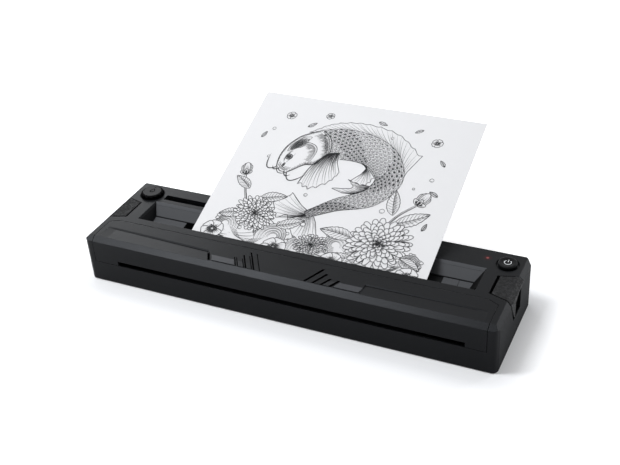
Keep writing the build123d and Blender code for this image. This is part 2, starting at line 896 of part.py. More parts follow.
def front_bands():
    """Lowered bands in front of the crease, one each side of the pattern."""
    outer = cover_half - band_outer_margin
    right = band(band_right_inner, outer, crease_right, crease_right)
    left = band(-notch_near, -outer, crease_left_inner, crease_left_outer)
    near = front_y
    far = cover_rear_y
    keep = [(-half_width, near), (notch_middle(near), near), (notch_middle(far), far), (-half_width, far)]
    return right + (left & prism_z(keep, deck_z - 2 * band_depth, deck_z + 2.0))


def slanted_cut(foot, lean, width, deep, length):
    """Slot in the top that runs back from the bevel and leans sideways."""
    near = pattern_front()
    half = width / 2
    run = length * lean
    far = near + length
    outline = [(foot - half, near), (foot + half, near), (foot + half + run, far), (foot - half + run, far)]
    return prism_z(outline, deck_z - deep, deck_z + 2 * lozenge_rise)


def left_notch():
    """Narrow deep notch between the left band and its lozenge."""
    return slanted_cut(-notch_near, -notch_lean, notch_width, notch_deep, notch_length)


def slits_and_grooves():
    """Fine slits left of the middle and wider grooves right of it, shorter and shorter outwards."""
    cuts = []
    for number in range(bar_count + 1):
        length = max(slit_long - number * pattern_step, slit_short)
        foot = slit_first + number * pattern_pitch
        cuts.append(slanted_cut(-foot, -slit_lean, slit_width, slit_deep, length))
        if number < bar_count:
            width = slit_wide if number < bar_count - 1 else slit_width
            cuts.append(slanted_cut(-foot - bar_width, -slit_lean, width, slit_deep, length))
        length = max(groove_long - number * pattern_step, groove_short)
        foot = groove_first + number * pattern_pitch
        cuts.append(slanted_cut(foot, groove_lean, groove_width, groove_deep, length))
    return cuts


def raised_wedge(near_edge, far_edge, run, rise):
    """Low wedge on the top: `rise` high at the front, flush with the deck behind."""
    near = pattern_front()
    far = near + run
    root = deck_z - wedge_root
    left = min(near_edge[0], far_edge[0])
    right = max(near_edge[1], far_edge[1])
    plan = prism_z([(near_edge[0], near), (near_edge[1], near), (far_edge[1], far), (far_edge[0], far)],
                   root, deck_z + 2 * rise)
    side = prism_x([(near, root), (far, root), (far, deck_z), (near, deck_z + rise)], left - 1.0, right + 1.0)
    return plan & side


def raised_bars():
    """Wedges between the slits and between the grooves, higher and higher outwards."""
    bars = []
    for number in range(bar_count):
        rise = bar_rise - (bar_count - 1 - number) * bar_rise_step
        start = -slit_first - number * pattern_pitch - bar_width
        bars.append(slanted_bar(start, start + bar_width, -slit_lean, rise))
        start = groove_first + number * pattern_pitch
        bars.append(slanted_bar(start, start + pattern_pitch, groove_lean, rise))
    return bars


def slanted_bar(left, right, lean, rise):
    run = bar_run * lean
    return raised_wedge((left, right), (left + run, right + run), bar_run, rise)


def raised_lozenges():
    """Broader wedges between the bands and the bars."""
    left = raised_wedge((-58.3, -37.7), (-62.4, -41.6), lozenge_run, lozenge_rise)
    right = raised_wedge((48.6, 69.2), (50.8, 70.0), lozenge_run, lozenge_rise)
    return [left, right]


def make_front_cover():
    """Hinged cover: skin, cheeks, hinge arms, catch lugs and pressed surface detail."""
    form = housing_form()
    plan = prism_z(cover_plan(), body_base_z, deck_z + 1.0)
    solid = form & plan & box(-half_width, half_width, front_y - 1, rear_y, cover_front_low_z, deck_z + 1)
    hollow = housing_form(cover_skin)
    hollow = hollow & box(-cover_half + cheek_thickness, cover_half - cheek_thickness,
                          front_y, cover_rear_y + 1, cover_front_low_z - 1, deck_z)
    cover = solid - hollow

    # rear edge under-cut on the hinge's radius, so it rides over the rim
    low = deck_z - cover_skin
    undercut = prism_x(
        [(cover_rear_y + 0.01, deck_z), (cover_rear_y + 8.0, deck_z), (cover_rear_y + 8.0, low - 3.0),
         (cover_rear_y - 2.6 - 3.0, low - 3.0), (cover_rear_y - 2.6, low)],
        -half_width, half_width,
    )
    cover -= undercut

    relief = corner_relief()
    cover -= relief + other_side(relief)

    # cheeks rise towards the hinge
    cheek_cut = prism_x(
        [(front_y + cover_skin, cover_front_low_z - 1.0), (cover_rear_y + 3.0, cover_front_low_z - 1.0),
         (cover_rear_y + 3.0, deck_z - 8.0), (front_y + 16.0, cover_front_low_z + 3.0),
         (front_y + cover_skin + 1.0, cover_front_low_z)],
        cover_half - cheek_thickness - 1.0, cover_half + 1.0,
    )
    cover -= cheek_cut + other_side(cheek_cut)

    # exit slot, notched out of the front skin's lower edge
    cover -= box(slot_centre_x - slot_width / 2, slot_centre_x + slot_width / 2,
                 front_y - 1.0, front_y + cover_skin + 1.0,
                 cover_front_low_z - 1.0, sill_height + slot_height)

    cover += make_hinge_arm() + other_side(make_hinge_arm())
    cover += catch_lug() + other_side(catch_lug())

    cover -= front_bands()
    for wedge in raised_lozenges() + raised_bars():
        cover += wedge
    cover -= left_notch()
    for cut in slits_and_grooves():
        cover -= cut
    return cover


def corner_relief():
    """Cone about the hinge axis that frees the slanted rear corner, at the right end."""
    side = cover_half + split_gap
    rise = deck_z - hinge_z
    inner = hypot(hinge_y - rim_front_y, rise) + hinge_clearance
    outer = hypot(hinge_y - rim_front_y + cover_corner_y, rise) + hinge_clearance
    return cone_x(inner, outer, side - cover_corner_x, side, hinge_y, hinge_z)


def make_hinge_arm():
    """Goose-neck arm from the cover's skin, under the rim, to the hinge pin."""
    x0 = hinge_x - hinge_arm_width / 2
    x1 = hinge_x + hinge_arm_width / 2
    half = hinge_arm_thickness / 2
    drop = radians(60)
    elbow_y = hinge_y - 7.4 * cos(drop)
    elbow_z = hinge_z - 7.4 * sin(drop)
    far_y = hinge_y - 10.0
    top_z = deck_z - cover_skin + 0.4
    side_y = half * sin(drop)
    side_z = half * cos(drop)
    outline = [
        (hinge_y + side_y, hinge_z - side_z),
        (hinge_y - side_y, hinge_z + side_z),
        (elbow_y - side_y + 0.4, elbow_z + half + 0.6),
        (far_y + half, elbow_z + half + 0.6),
        (far_y + half, top_z),
        (far_y - half, top_z),
        (far_y - half, elbow_z - half + 1.2),
        (far_y - half + 1.2, elbow_z - half),
        (elbow_y + side_y, elbow_z - half),
    ]
    arm = prism_x(outline, x0, x1) + rod_x(hinge_eye_radius, x0, x1, hinge_y, hinge_z)
    return arm - rod_x(hinge_pin_radius + hinge_clearance, x0 - 1, x1 + 1, hinge_y, hinge_z)


def catch_lug():
    """Lug under the cover that holds the catch pin, inside of the right hook."""
    y, z = catch_place()
    top = deck_z - cover_skin + 0.3
    outline = [
        (y - 2.4, z - 1.4),
        (y - 1.4, z - 2.4),
        (y + 1.4, z - 2.4),
        (y + 2.4, z - 1.4),
        (y + 4.0, top),
        (y - 4.0, top),
    ]
    left = catch_lug_left()
    return prism_x(outline, left, left + catch_lug_width) - catch_pin()


def catch_lug_left():
    """Inner face of the right lug: the pressed hook stops short of the lug."""
    return lock_bar_x() - lock_bar_thickness / 2 - right_travel - catch_gap - catch_lug_width


def catch_pin():
    """Pin that stands out of the lug, short of the free hook and under the pressed one."""
    y, z = catch_place()
    return rod_x(catch_radius, catch_lug_left(), lock_bar_x() - lock_bar_thickness / 2 - catch_gap, y, z)


# ================================================================ gears
def gear_outline(teeth, turn):
    """Points (y, z) of an involute gear outline with the given turn in radians."""
    pitch = gear_module * teeth / 2
    base = pitch * cos(radians(pressure_angle))
    tip = pitch + gear_module
    root = pitch - 1.25 * gear_module
    half_tooth = pi / (2 * teeth) - gear_backlash / (2 * pitch)
    involute = tan(radians(pressure_angle)) - radians(pressure_angle)
    flank_start = max(base, root)
    flank = []
    for step in range(4):
        radius = flank_start + (tip - flank_start) * step / 3
        roll = acos(min(1.0, base / radius))
        flank.append((radius, half_tooth + involute - (tan(roll) - roll)))
    points = []
    for tooth in range(teeth):
        centre = turn + 2 * pi * tooth / teeth
        if root < base:
            points.append((root, centre - flank[0][1]))
        for radius, offset in flank:
            points.append((radius, centre - offset))
        for radius, offset in reversed(flank):
            points.append((radius, centre + offset))
        if root < base:
            points.append((root, centre + flank[0][1]))
    return [(radius * cos(angle), radius * sin(angle)) for radius, angle in points]


def gear_turns():
    """Turns that bring platen, idler and pinion into mesh at rest."""
    pitch = pi * gear_module
    platen_turn = radians(idler_angle)
    idler_radius = gear_module * idler_teeth / 2
    idler_turn = radians(idler_angle) + pi - (pitch / 2) / idler_radius
    offset = (idler_turn - radians(pinion_angle)) * idler_radius
    pinion_radius = gear_module * pinion_teeth / 2
    pinion_turn = radians(pinion_angle) + pi - (offset + pitch / 2) / pinion_radius
    return platen_turn, idler_turn, pinion_turn


def make_gear(teeth, turn, place, bore):
    y, z = place
    x0 = left_ear_x() - gear_gap - gear_face
    points = [(y + dy, z + dz) for dy, dz in gear_outline(teeth, turn)]
    gear = prism_x(points, x0, x0 + gear_face)
    return gear - rod_x(bore, x0 - 1, x0 + gear_face + 1, y, z)


# ================================================================ platen, drive and chassis
def make_platen_shaft():
    y, z = platen_place()
    left = left_ear_x() - gear_gap - gear_face - 1.0
    right = right_ear_x() + 2.5
    return rod_x(platen_shaft_radius, left, right, y, z)


def make_platen_rubber():
    y, z = platen_place()
    left, right = rubber_ends()
    return rod_x(platen_radius, left, right, y, z) - rod_x(platen_shaft_radius, left - 1, right + 1, y, z)


def make_platen_bushes():
    """Flanged bushes in the chassis ears."""
    y, z = platen_place()
    bushes = []
    for outer, side in ((left_ear_x(), 1), (right_ear_x(), -1)):
        inner = outer + side * ear_thickness
        sleeve = rod_x(platen_shaft_radius + 1.2, outer, inner, y, z)
        sleeve += rod_x(platen_shaft_radius + 2.2, inner, inner + side * 1.0, y, z)
        sleeve -= rod_x(platen_shaft_radius + shaft_clearance, outer - 5, outer + 5, y, z)
        bushes.append(sleeve)
    return Compound(children=[part.solid() for part in bushes])


def chassis_floor():
    return body_base_z + plate_thickness + 2.0


def make_print_chassis():
    """Folded steel frame: a web under the platen and an ear at each end."""
    platen_y, platen_z = platen_place()
    motor_y, motor_z = pinion_place()
    low = chassis_floor()
    left = left_ear_x()
    right = right_ear_x()
    front = platen_y - 8.5
    web = box(left, right, front, platen_y + 9.0, low, low + 1.5)
    ear_top = platen_z + 5.4
    small_ear = [(front, low), (platen_y + 9.0, low), (platen_y + 9.0, low + 4), (platen_y + 5.4, platen_z + 2.0),
                 (platen_y + 3.0, ear_top), (platen_y - 3.0, ear_top), (platen_y - 5.4, platen_z + 2.0), (front, low + 4)]
    long_ear = [(front, low), (motor_y + motor_radius + 3.0, low), (motor_y + motor_radius + 3.0, motor_z + 4.0),
                (motor_y + 6.0, motor_z + motor_radius), (platen_y + 12.0, motor_z + motor_radius),
                (platen_y + 3.0, ear_top), (platen_y - 3.0, ear_top), (platen_y - 5.4, platen_z + 2.0), (front, low + 4)]
    chassis = web + prism_x(long_ear, left, left + ear_thickness) + prism_x(small_ear, right - ear_thickness, right)
    chassis -= rod_x(platen_shaft_radius + 1.2, left - 5, right + 5, platen_y, platen_z)
    idler_y, idler_z = idler_place()
    chassis -= rod_x(axle_radius, left - 5, left + 5, idler_y, idler_z)
    chassis -= rod_x(motor_shaft_radius + 1.5, left - 5, left + 5, motor_y, motor_z)
    for x, y in chassis_screw_places():
        chassis -= rod_z(screw_radius, low - 1, low + 3, x, y)
    return chassis


def chassis_screw_places():
    platen_y, _ = platen_place()
    left = left_ear_x() + ear_thickness + 8.0
    right = right_ear_x() - ear_thickness - 8.0
    return [(left, platen_y), (right, platen_y)]


def make_idler_axle():
    """Fixed pin of the idler, with a head that keeps the gear on."""
    y, z = idler_place()
    ear = left_ear_x()
    tip = ear - gear_gap - gear_face - 0.3
    return rod_x(axle_radius, tip, ear + ear_thickness, y, z) + rod_x(axle_radius + 1.2, tip - 0.8, tip, y, z)


def make_stepper_motor():
    """Can motor on the inside of the left ear, with its fixing flange."""
    y, z = pinion_place()
    face = left_ear_x() + ear_thickness
    can = rod_x(motor_radius, face + 0.8, face + 0.8 + motor_length, y, z)
    can = chamfer(can.edges().filter_by(GeomType.CIRCLE).sort_by(Axis.X)[-1:], 0.8)
    flange_half = motor_radius + 3.2
    flange = prism_x([(y - flange_half, z - 3), (y - flange_half + 3, z - 5), (y + 2.5, z - 5), (y + 2.5, z + 5),
                      (y - flange_half + 3, z + 5), (y - flange_half, z + 3)], face, face + 0.8)
    flange += rod_x(motor_radius, face, face + 0.8, y, z)
    return can + flange - rod_x(motor_shaft_radius + shaft_clearance, face - 1, face + 0.8 + motor_length - 2, y, z)


def make_motor_shaft():
    y, z = pinion_place()
    face = left_ear_x() + ear_thickness
    return rod_x(motor_shaft_radius, left_ear_x() - gear_gap - gear_face - 0.5, face + motor_length - 3.0, y, z)


# ================================================================ thermal head
def head_ends():
    left, right = rubber_ends()
    return left - head_overhang, right + head_overhang


def pivot_place():
    """Axis (y, z) of the head's pivot shaft."""
    rise = nip_gap / 2 + head_bar_thickness + head_plate + pivot_above
    return along_sheet(nip_run + head_width / 2 - 3.0, rise)


def pivot_lugs():
    """Left faces in X of the head's two pivot ears."""
    left, right = head_ends()
    return left + pivot_inset, right - pivot_inset - head_ear_width


def sheet_block(run0, run1, rise0, rise1, x0, x1):
    """Block whose long faces lie along the sheet's slope."""
    places = [(run0, rise0), (run1, rise0), (run1, rise1), (run0, rise1)]
    corners = [along_sheet(run, rise) for run, rise in places]
    return prism_x(corners, x0, x1)


def make_thermal_head():
    """Ceramic bar with a raised glaze line over the nip."""
    left, right = head_ends()
    low = nip_gap / 2 + 0.25
    start = nip_run - head_bar_width / 2 - 1.0
    bar = sheet_block(start, start + head_bar_width, low, nip_gap / 2 + head_bar_thickness, left, right)
    glaze = sheet_block(nip_run - 1.2, nip_run + 1.2, nip_gap / 2, low, left + 2, right - 2)
    return bar + glaze


def make_head_heatsink():
    """Aluminium plate behind the ceramic, with fins and pivot ears."""
    left, right = head_ends()
    low = nip_gap / 2 + head_bar_thickness
    half = head_width / 2
    sink = sheet_block(nip_run - half, nip_run + half, low, low + head_plate - 1.2, left, right)
    fins = 5
    for number in range(fins):
        start = nip_run - half + number * 2.4
        sink += sheet_block(start, start + 1.2, low + head_plate - 1.3, low + head_plate, left, right)
    y, z = pivot_place()
    run = nip_run + half - 3.0
    for x in pivot_lugs():
        ear = sheet_block(run - head_ear_radius, run + head_ear_radius, low + head_plate - 1.3,
                          low + head_plate + pivot_above, x, x + head_ear_width)
        ear += rod_x(head_ear_radius, x, x + head_ear_width, y, z)
        sink += ear
    for x in pivot_lugs():
        for start in (x - hinge_side_gap - pivot_lug_width - 0.4, x + head_ear_width + hinge_side_gap - 0.1):
            sink -= sheet_block(run - 3.4, run + 6.0, low - 1.0, low + 12.0, start, start + pivot_lug_width + 0.5)
    return sink - rod_x(pivot_radius + hinge_clearance, left - 1, right + 1, y, z)


def make_head_connector():
    """Flat-cable connector on the underside of the heat sink's rear edge."""
    left, _ = head_ends()
    low = nip_gap / 2 + head_bar_thickness
    run = nip_run + head_width / 2
    return sheet_block(run - 3.2, run - 0.2, low - 1.6, low,
                       left + connector_from_end, left + connector_from_end + connector_length)


def frame_low_z():
    return deck_z - cover_skin - frame_plate


def make_cover_frame():
    """Inner frame under the cover's skin: plate, pivot lugs and spring posts."""
    left, right = head_ends()
    low = frame_low_z()
    top = deck_z - cover_skin
    y, z = pivot_place()
    plate = box(left - frame_overhang, right + frame_overhang, y - frame_ahead, y + frame_behind, low, top)
    lug = [
        (y - 2.6, low + 0.2),
        (y - 2.6, z),
        (y - 1.3, z - 2.2),
        (y + 1.3, z - 2.2),
        (y + frame_behind, z),
        (y + frame_behind, low + 0.2),
    ]
    for x in pivot_lugs():
        ear_end = x + head_ear_width + hinge_side_gap
        for start in (x - hinge_side_gap - pivot_lug_width, ear_end):
            plate += prism_x(lug, start, start + pivot_lug_width)
        plate -= box(x - hinge_side_gap, ear_end, y - 3.6, y + 3.6, low - 1.0, top + 1.0)
    plate -= rod_x(pivot_radius, left, right, y, z)
    for x, spring_y in spring_places():
        plate += rod_z(spring_radius - spring_wire * 2 - 0.25, low - 1.0, low + 0.2, x, spring_y)
    return plate


def make_pivot_pins():
    """Two pins that the head swings on, held in the frame's lugs."""
    y, z = pivot_place()
    reach = hinge_side_gap + pivot_lug_width
    pins = [rod_x(pivot_radius, x - reach, x + head_ear_width + reach, y, z) for x in pivot_lugs()]
    return Compound(children=[pin.solid() for pin in pins])


def spring_places():
    left, right = head_ends()
    y, _ = pivot_place()
    span = right - left
    return [(left + span * share, y - spring_ahead) for share in (0.15, 0.5, 0.85)]


def spring_seat_z(y):
    """Height of the heat sink's fins below a spring."""
    low = nip_gap / 2 + head_bar_thickness + head_plate
    base_y, base_z = along_sheet(nip_run, low)
    return base_z + (y - base_y) * tan(lean)


def make_head_springs():
    """Pressure springs, each as one ribbed sleeve with the coil's outer form."""
    columns = []
    for x, y in spring_places():
        top = frame_low_z()
        low = spring_seat_z(y) + spring_radius * tan(lean) + 0.05
        columns.append(ribbed_sleeve(x, y, low, top, spring_radius, spring_wire, 4))
    return Compound(children=columns)


def ribbed_sleeve(x, y, low, top, radius, wire, coils):
    """Closed sleeve with one rounded rib for each coil."""
    inner = radius - 2 * wire
    pitch = (top - low) / coils
    points = [(inner, low)]
    for number in range(coils):
        base = low + number * pitch
        points.append((radius - wire * 0.6, base))
        points.append((radius, base + pitch * 0.25))
        points.append((radius, base + pitch * 0.6))
        points.append((radius - wire * 0.6, base + pitch * 0.9))
    points.append((radius - wire * 0.6, top))
    points.append((inner, top))
    outline = [(px, 0.0, pz) for px, pz in points]
    sleeve = revolve(make_face(Polyline(*outline, close=True)), axis=Axis.Z)
    return (Pos(x, y, 0) * sleeve).solid()


# ================================================================ paper guides and sheet
def rib_places():
    """Middles in X of the ribs that the sheet runs on."""
    first = sheet_centre_x - sheet_width / 2 + rib_margin
    pitch = (sheet_width - 2 * rib_margin) / (rib_count - 1)
    return [first + number * pitch for number in range(rib_count)]


def well_underside(y):
    """Height of the underside of the well's floor."""
    slope = well_slope_drop / well_slope_run
    seam_y = well_seam_y + well_wall * (sqrt(1 + slope * slope) - 1) / slope
    return well_seam_z - well_wall - (seam_y - y) * tan(radians(well_floor_angle))


def make_inlet_guide():
    """Plate and ribs that lead the sheet from the well down to the platen."""
    left = inlet_centre_x - inlet_width / 2 + 0.4
    right = inlet_centre_x + inlet_width / 2 - 0.4
    start = platen_place()[0] + platen_radius + 1.0
    run_start = (start - well_front_y) / cos(lean)
    rib_rise = -sheet_clearance - sheet_thickness / 2
    top0 = along_sheet(run_start, rib_rise)
    plate_low = well_seam_z - 2.6
    plate = prism_x(
        [(start, plate_low - 1.2), (well_seam_y - 0.3, plate_low),
         (well_seam_y - 0.3, plate_low + 1.8), (start, plate_low + 0.8)],
        left, right,
    )
    rib_end = well_seam_y - rib_short
    top1 = along_sheet((rib_end - well_front_y) / cos(lean), rib_rise)
    for x in rib_places():
        rib = [(start, plate_low), top0, top1, (rib_end + 5.0, plate_low + 1.0)]
        plate += prism_x(rib, x - rib_half, x + rib_half)
    # tabs at both ends that bear on the underside of the well's floor
    rear = well_seam_y - 1.0
    front = rear - tab_depth
    low = plate_low - tab_drop
    tab = [(front, well_underside(front)), (rear, well_underside(rear)), (rear, low), (front, low)]
    for x0, x1 in ((left - tab_reach, left + tab_depth), (right - tab_depth, right + tab_reach)):
        plate += prism_x(tab, x0, x1)
    for x0 in (left, right - tab_depth):
        plate += box(x0, x0 + tab_depth, front, rear, low, plate_low + 1.0)
    return plate


def make_exit_guide():
    """Ramp from the platen down to the exit slot."""
    platen_y = platen_place()[0]
    left = left_ear_x() + ear_thickness + 0.5
    right = right_ear_x() - ear_thickness - 0.5
    end = platen_y - platen_radius - 1.0
    start = front_y + wall
    low = sill_height - 2.4
    rise = 3.2
    guide = prism_x([(start, low), (start + 3.0, low), (end, low + rise), (end, low + rise + 1.6),
                     (start + 3.0, low + 1.6), (start, low + 1.6)], left, right)
    for x in rib_places():
        rib = [(start + 3.0, low + 1.5), (end, low + rise + 1.5), (end, low + rise + 2.6), (start + 4.0, low + 2.2)]
        guide += prism_x(rib, x - rib_half, x + rib_half)
    # legs down to the bottom plate
    for x in (left + 20.0, right - 20.0):
        guide += box(x - 4.0, x + 4.0, start + 2.0, start + 3.6, body_base_z + plate_thickness, low + 0.5)
    return guide


def make_stencil_sheet():
    """Flat sheet standing in the inlet, leaning back along its path."""
    half = sheet_thickness / 2
    return sheet_block(-sheet_in, sheet_out, -half, half,
                       sheet_centre_x - sheet_width / 2, sheet_centre_x + sheet_width / 2)


# ================================================================ base plate, feet and screws
def foot_places():
    x = half_width - foot_inset_x
    y = body_depth / 2 - foot_inset_y
    return [(-x, -y), (x, -y), (x, y), (-x, y)]


def make_bottom_plate():
    """Plate that closes the housing, with posts for the chassis, board and battery."""
    low = body_base_z
    top = low + plate_thickness
    plate = housing_form(wall + plate_gap) & box(-half_width, half_width, front_y, rear_y, low, top)
    for x, y in foot_places():
        plate -= rod_z(foot_radius, low - 1.0, low + foot_sunk, x, y)
    for x, y in base_screw_places():
        plate -= rod_z(screw_radius + 0.2, low - 1, top + 1, x, y)
        plate -= rod_z(screw_head_radius + 0.2, low - 1, low + screw_head_height, x, y)
    for x, y in chassis_screw_places():
        plate += rod_z(3.5, top - 0.5, chassis_floor(), x, y)
        plate -= rod_z(screw_radius, low + 1.0, chassis_floor() + 1.0, x, y)
    for x, y in board_posts():
        plate += rod_z(board_post_radius, top - 0.5, top + board_post_height, x, y)
        plate -= rod_z(small_screw_radius, low + 1.0, top + board_post_height + 1.0, x, y)
    # cooling slits under the board
    for number in range(9):
        x = usb_place() - 20.0 + number * 5.0
        plate -= box(x - 0.8, x + 0.8, 2.0, 22.0, low - 1.0, top + 1.0)
    return plate


def make_rubber_feet():
    feet = []
    for x, y in foot_places():
        foot = rod_z(foot_radius, 0.0, body_base_z + foot_sunk, x, y)
        foot = chamfer(foot.edges().filter_by(GeomType.CIRCLE).sort_by(Axis.Z)[:1], 0.4)
        feet.append(foot)
    return Compound(children=[foot.solid() for foot in feet])


def countersunk(x, y, head_z, length, radius, up):
    """Screw with a flat round head; up is +1 when it is driven upwards."""
    head = rod_z(screw_head_radius, head_z, head_z + up * screw_head_height, x, y)
    shank_end = head_z + up * (screw_head_height + length)
    shank = rod_z(radius, head_z + up * screw_head_height, shank_end, x, y)
    return (head + shank).solid()


def make_base_screws():
    length = plate_thickness - screw_head_height + screw_bite
    screws = [countersunk(x, y, body_base_z, length, screw_radius, 1) for x, y in base_screw_places()]
    return Compound(children=screws)


def make_chassis_screws():
    head = chassis_floor() + 1.5 + screw_head_height
    screws = [countersunk(x, y, head, 3.0, screw_radius, -1) for x, y in chassis_screw_places()]
    return Compound(children=screws)


# ================================================================ battery and boards
def cell_ends():
    """Ends in X of both cells, laid end to end beside the board."""
    left = board_edges()[0] - cell_from_board - 2 * cell_length - cell_gap
    return [(left, left + cell_length), (left + cell_length + cell_gap, left + 2 * cell_length + cell_gap)]


def cell_y():
    """Cells lie just in front of the rear screw bosses."""
    return rear_y - boss_from_rear - boss_radius - 0.5 - cradle_wall - cell_radius


def cell_axis_z():
    return body_base_z + plate_thickness + cradle_wall + cell_radius


def make_battery_cells():
    cells = []
    for left, right in cell_ends():
        body = rod_x(cell_radius, left, right - 1.0, cell_y(), cell_axis_z())
        body = chamfer(body.edges().filter_by(GeomType.CIRCLE), 0.7)
        cells.append((body + rod_x(2.8, right - 1.0, right, cell_y(), cell_axis_z())).solid())
    return Compound(children=cells)


def make_battery_holder():
    """Open cradle with end walls and a middle wall."""
    ends = cell_ends()
    left = ends[0][0]
    right = ends[1][1]
    low = body_base_z + plate_thickness
    half = cell_radius + cradle_wall
    axis_z = cell_axis_z()
    cradle = box(left - 1.8, right + 1.8, cell_y() - half, cell_y() + half, low, axis_z - 1.0)
    cradle -= rod_x(cell_radius + 0.05, left, right, cell_y(), axis_z)
    for x0, x1 in ((left - 1.8, left), (right, right + 1.8)):
        cradle += box(x0, x1, cell_y() - half, cell_y() + half, low, axis_z + 4.0)
    return cradle


def usb_place():
    """Middle of the charging socket in X."""
    return half_width - usb_from_end


def board_edges():
    """Control board (x0, x1, y0, y1)."""
    rear = rear_y - wall - board_edge_gap
    return usb_place() - board_left, usb_place() + board_right, rear - board_depth, rear


def board_posts():
    x0, x1, y0, y1 = board_edges()
    left = x0 + board_post_inset
    right = x1 - board_post_inset
    front = y0 + board_post_inset
    rear = y1 - board_post_rear_inset
    return [(left, front), (right, front), (left, rear), (right, rear)]


def make_control_board():
    x0, x1, y0, y1 = board_edges()
    top = board_top_z()
    board = box(x0, x1, y0, y1, top - board_thickness, top)
    board -= rod_z(boss_radius + 0.6, top - 5, top + 5, half_width - boss_from_right_rear, rear_y - boss_from_rear)
    for x, y in board_posts():
        board -= rod_z(small_screw_radius, top - 5, top + 5, x, y)
    return board


def make_board_parts():
    """Chips, inductor, capacitors and a header standing on the control board."""
    x0, _, y0, _ = board_edges()
    top = board_top_z()
    px, py = x0 + board_pitch, y0 + board_pitch
    half = processor_width / 2
    cx, cy = px + 1.8 * board_pitch, py + 0.8 * board_pitch
    processor = box(cx - half, cx + half, cy - half, cy + half, top, top + chip_height)
    cx, cy = px + 3.2 * board_pitch, py
    driver = box(cx, cx + driver_length, cy, cy + driver_width, top, top + chip_height)
    cx, cy = px + 3.0 * board_pitch, py + board_pitch
    inductor = box(cx, cx + inductor_width, cy, cy + inductor_width, top, top + inductor_height)
    header = box(px, px + header_width, py, py + header_length, top, top + header_height)
    pieces = [processor, driver, inductor, header]
    for number in range(2):
        cx, cy = px + 4.8 * board_pitch, py + (0.6 + number) * board_pitch
        pieces.append(rod_z(capacitor_radius, top, top + capacitor_height, cx, cy))
    return Compound(children=[piece.solid() for piece in pieces])


def make_board_screws():
    top = board_top_z()
    head_z = top + screw_head_height
    screws = [countersunk(x, y, head_z, small_screw_grip, small_screw_radius, -1) for x, y in board_posts()]
    head_z = switch_board_z() - board_thickness - screw_head_height
    screws += [countersunk(x, y, head_z, board_thickness + 2.4, small_screw_radius, 1) for x, y in switch_posts()]
    return Compound(children=screws)


def make_usb_socket():
    """Charging socket: an oval metal shell with its tongue."""
    top = board_top_z()
    y1 = rear_y - usb_recess
    y0 = y1 - usb_depth
    shell = box(usb_place() - usb_width / 2, usb_place() + usb_width / 2, y0, y1, top, top + usb_height)
    shell = fillet(shell.edges().filter_by(Axis.Y), 1.4)
    inner = box(usb_place() - usb_width / 2 + 0.35, usb_place() + usb_width / 2 - 0.35,
                y0 + 1.0, y1 + 1, top + 0.35,
                top + usb_height - 0.35)
    inner = fillet(inner.edges().filter_by(Axis.Y), 1.1)
    tongue = box(usb_place() - 3.3, usb_place() + 3.3, y0 + 0.5, y1 - 0.8,
                 top + usb_height / 2 - 0.35, top + usb_height / 2 + 0.35)
    return shell - inner + tongue


def switch_board_z():
    """Top of the small board under the power button."""
    return deck_z - button_ring_deep - wall - 5.0


def switch_posts():
    """Posts of the switch board: one at each side of the lamp and the button."""
    button_x, button_y = button_place()
    led_x, led_y = led_place()
    return [(led_x - 2.4, button_y - 5.2), (led_x + 8.4, led_y + 2.6), (button_x + 3.6, button_y - 6.0)]


def make_switch_board():
    button_x, button_y = button_place()
    led_x, led_y = led_place()
    top = switch_board_z()
    board = box(led_x - 5.0, button_x + 6.0, button_y - 8.4, led_y + 5.5, top - board_thickness, top)
    for x, y in switch_posts():
        board -= rod_z(small_screw_radius, top - 5.0, top + 1.0, x, y)
    return board


def make_tact_switch():
    """Square switch body with a round plunger."""
    x, y = button_place()
    low = switch_board_z()
    body = box(x - 3.0, x + 3.0, y - 3.0, y + 3.0, low, low + 3.0)
    return body + rod_z(1.7, low + 3.0, low + 4.2 - button_travel + 0.2, x, y)


def make_status_led():
    """Lamp on the switch board, with a clear pipe up to the deck."""
    x, y = led_place()
    low = switch_board_z()
    body = rod_z(led_radius + 0.5, low, deck_z - wall - 0.1, x, y)
    return body + rod_z(led_radius, deck_z - wall - 0.2, deck_z, x, y)


def make_power_button():
    """Round cap with a softly dished top, and a stem down to the switch."""
    x, y = button_place()
    low = deck_z - button_ring_deep + button_travel + 0.15
    top = deck_z + button_proud
    dish = 0.5
    points = [(0.0, low), (button_radius - 0.3, low), (button_radius, low + 0.3), (button_radius, top - 1.0),
              (button_radius - 0.35, top - 0.3), (button_radius - 1.0, top), (button_radius - 2.0, top - 0.1),
              (button_radius - 3.6, top - dish), (0.0, top - dish)]
    cap = revolve(make_face(Polyline(*[(px, 0.0, pz) for px, pz in points], close=True)), axis=Axis.Z)
    stem_low = switch_board_z() + 4.2 + 0.25
    return Pos(x, y, 0) * cap + rod_z(button_stem_radius, stem_low - 0.05, low + 0.1, x, y)


def make_density_dial():
    """Fluted dial with a bevelled top, a pointer groove and a stem."""
    x, y = dial_place()
    low = deck_z + dial_gap
    top = low + dial_height
    shoulder = top - dial_shoulder
    points = [(0.0, low), (dial_radius, low), (dial_radius, shoulder - 0.3), (dial_radius - 0.3, shoulder),
              (dial_top_radius + 0.3, top - 0.3), (dial_top_radius, top), (0.0, top)]
    dial = revolve(make_face(Polyline(*[(px, 0.0, pz) for px, pz in points], close=True)), axis=Axis.Z)
    reach = dial_radius + dial_flute_radius * 0.35
    for number in range(dial_flutes):
        angle = 2 * pi * number / dial_flutes
        dial -= rod_z(dial_flute_radius, low - 1, top - 0.1, reach * cos(angle), reach * sin(angle))
    mark_end = dial_top_radius - 0.8
    dial -= box(-dial_mark_half, dial_mark_half, mark_end - dial_mark_length, mark_end,
                top - dial_mark_deep, top + 1.0)
    dial += rod_z(dial_stem_radius, deck_z - wall - 2.0, low + 0.1, 0, 0)
    return Pos(x, y, 0) * dial


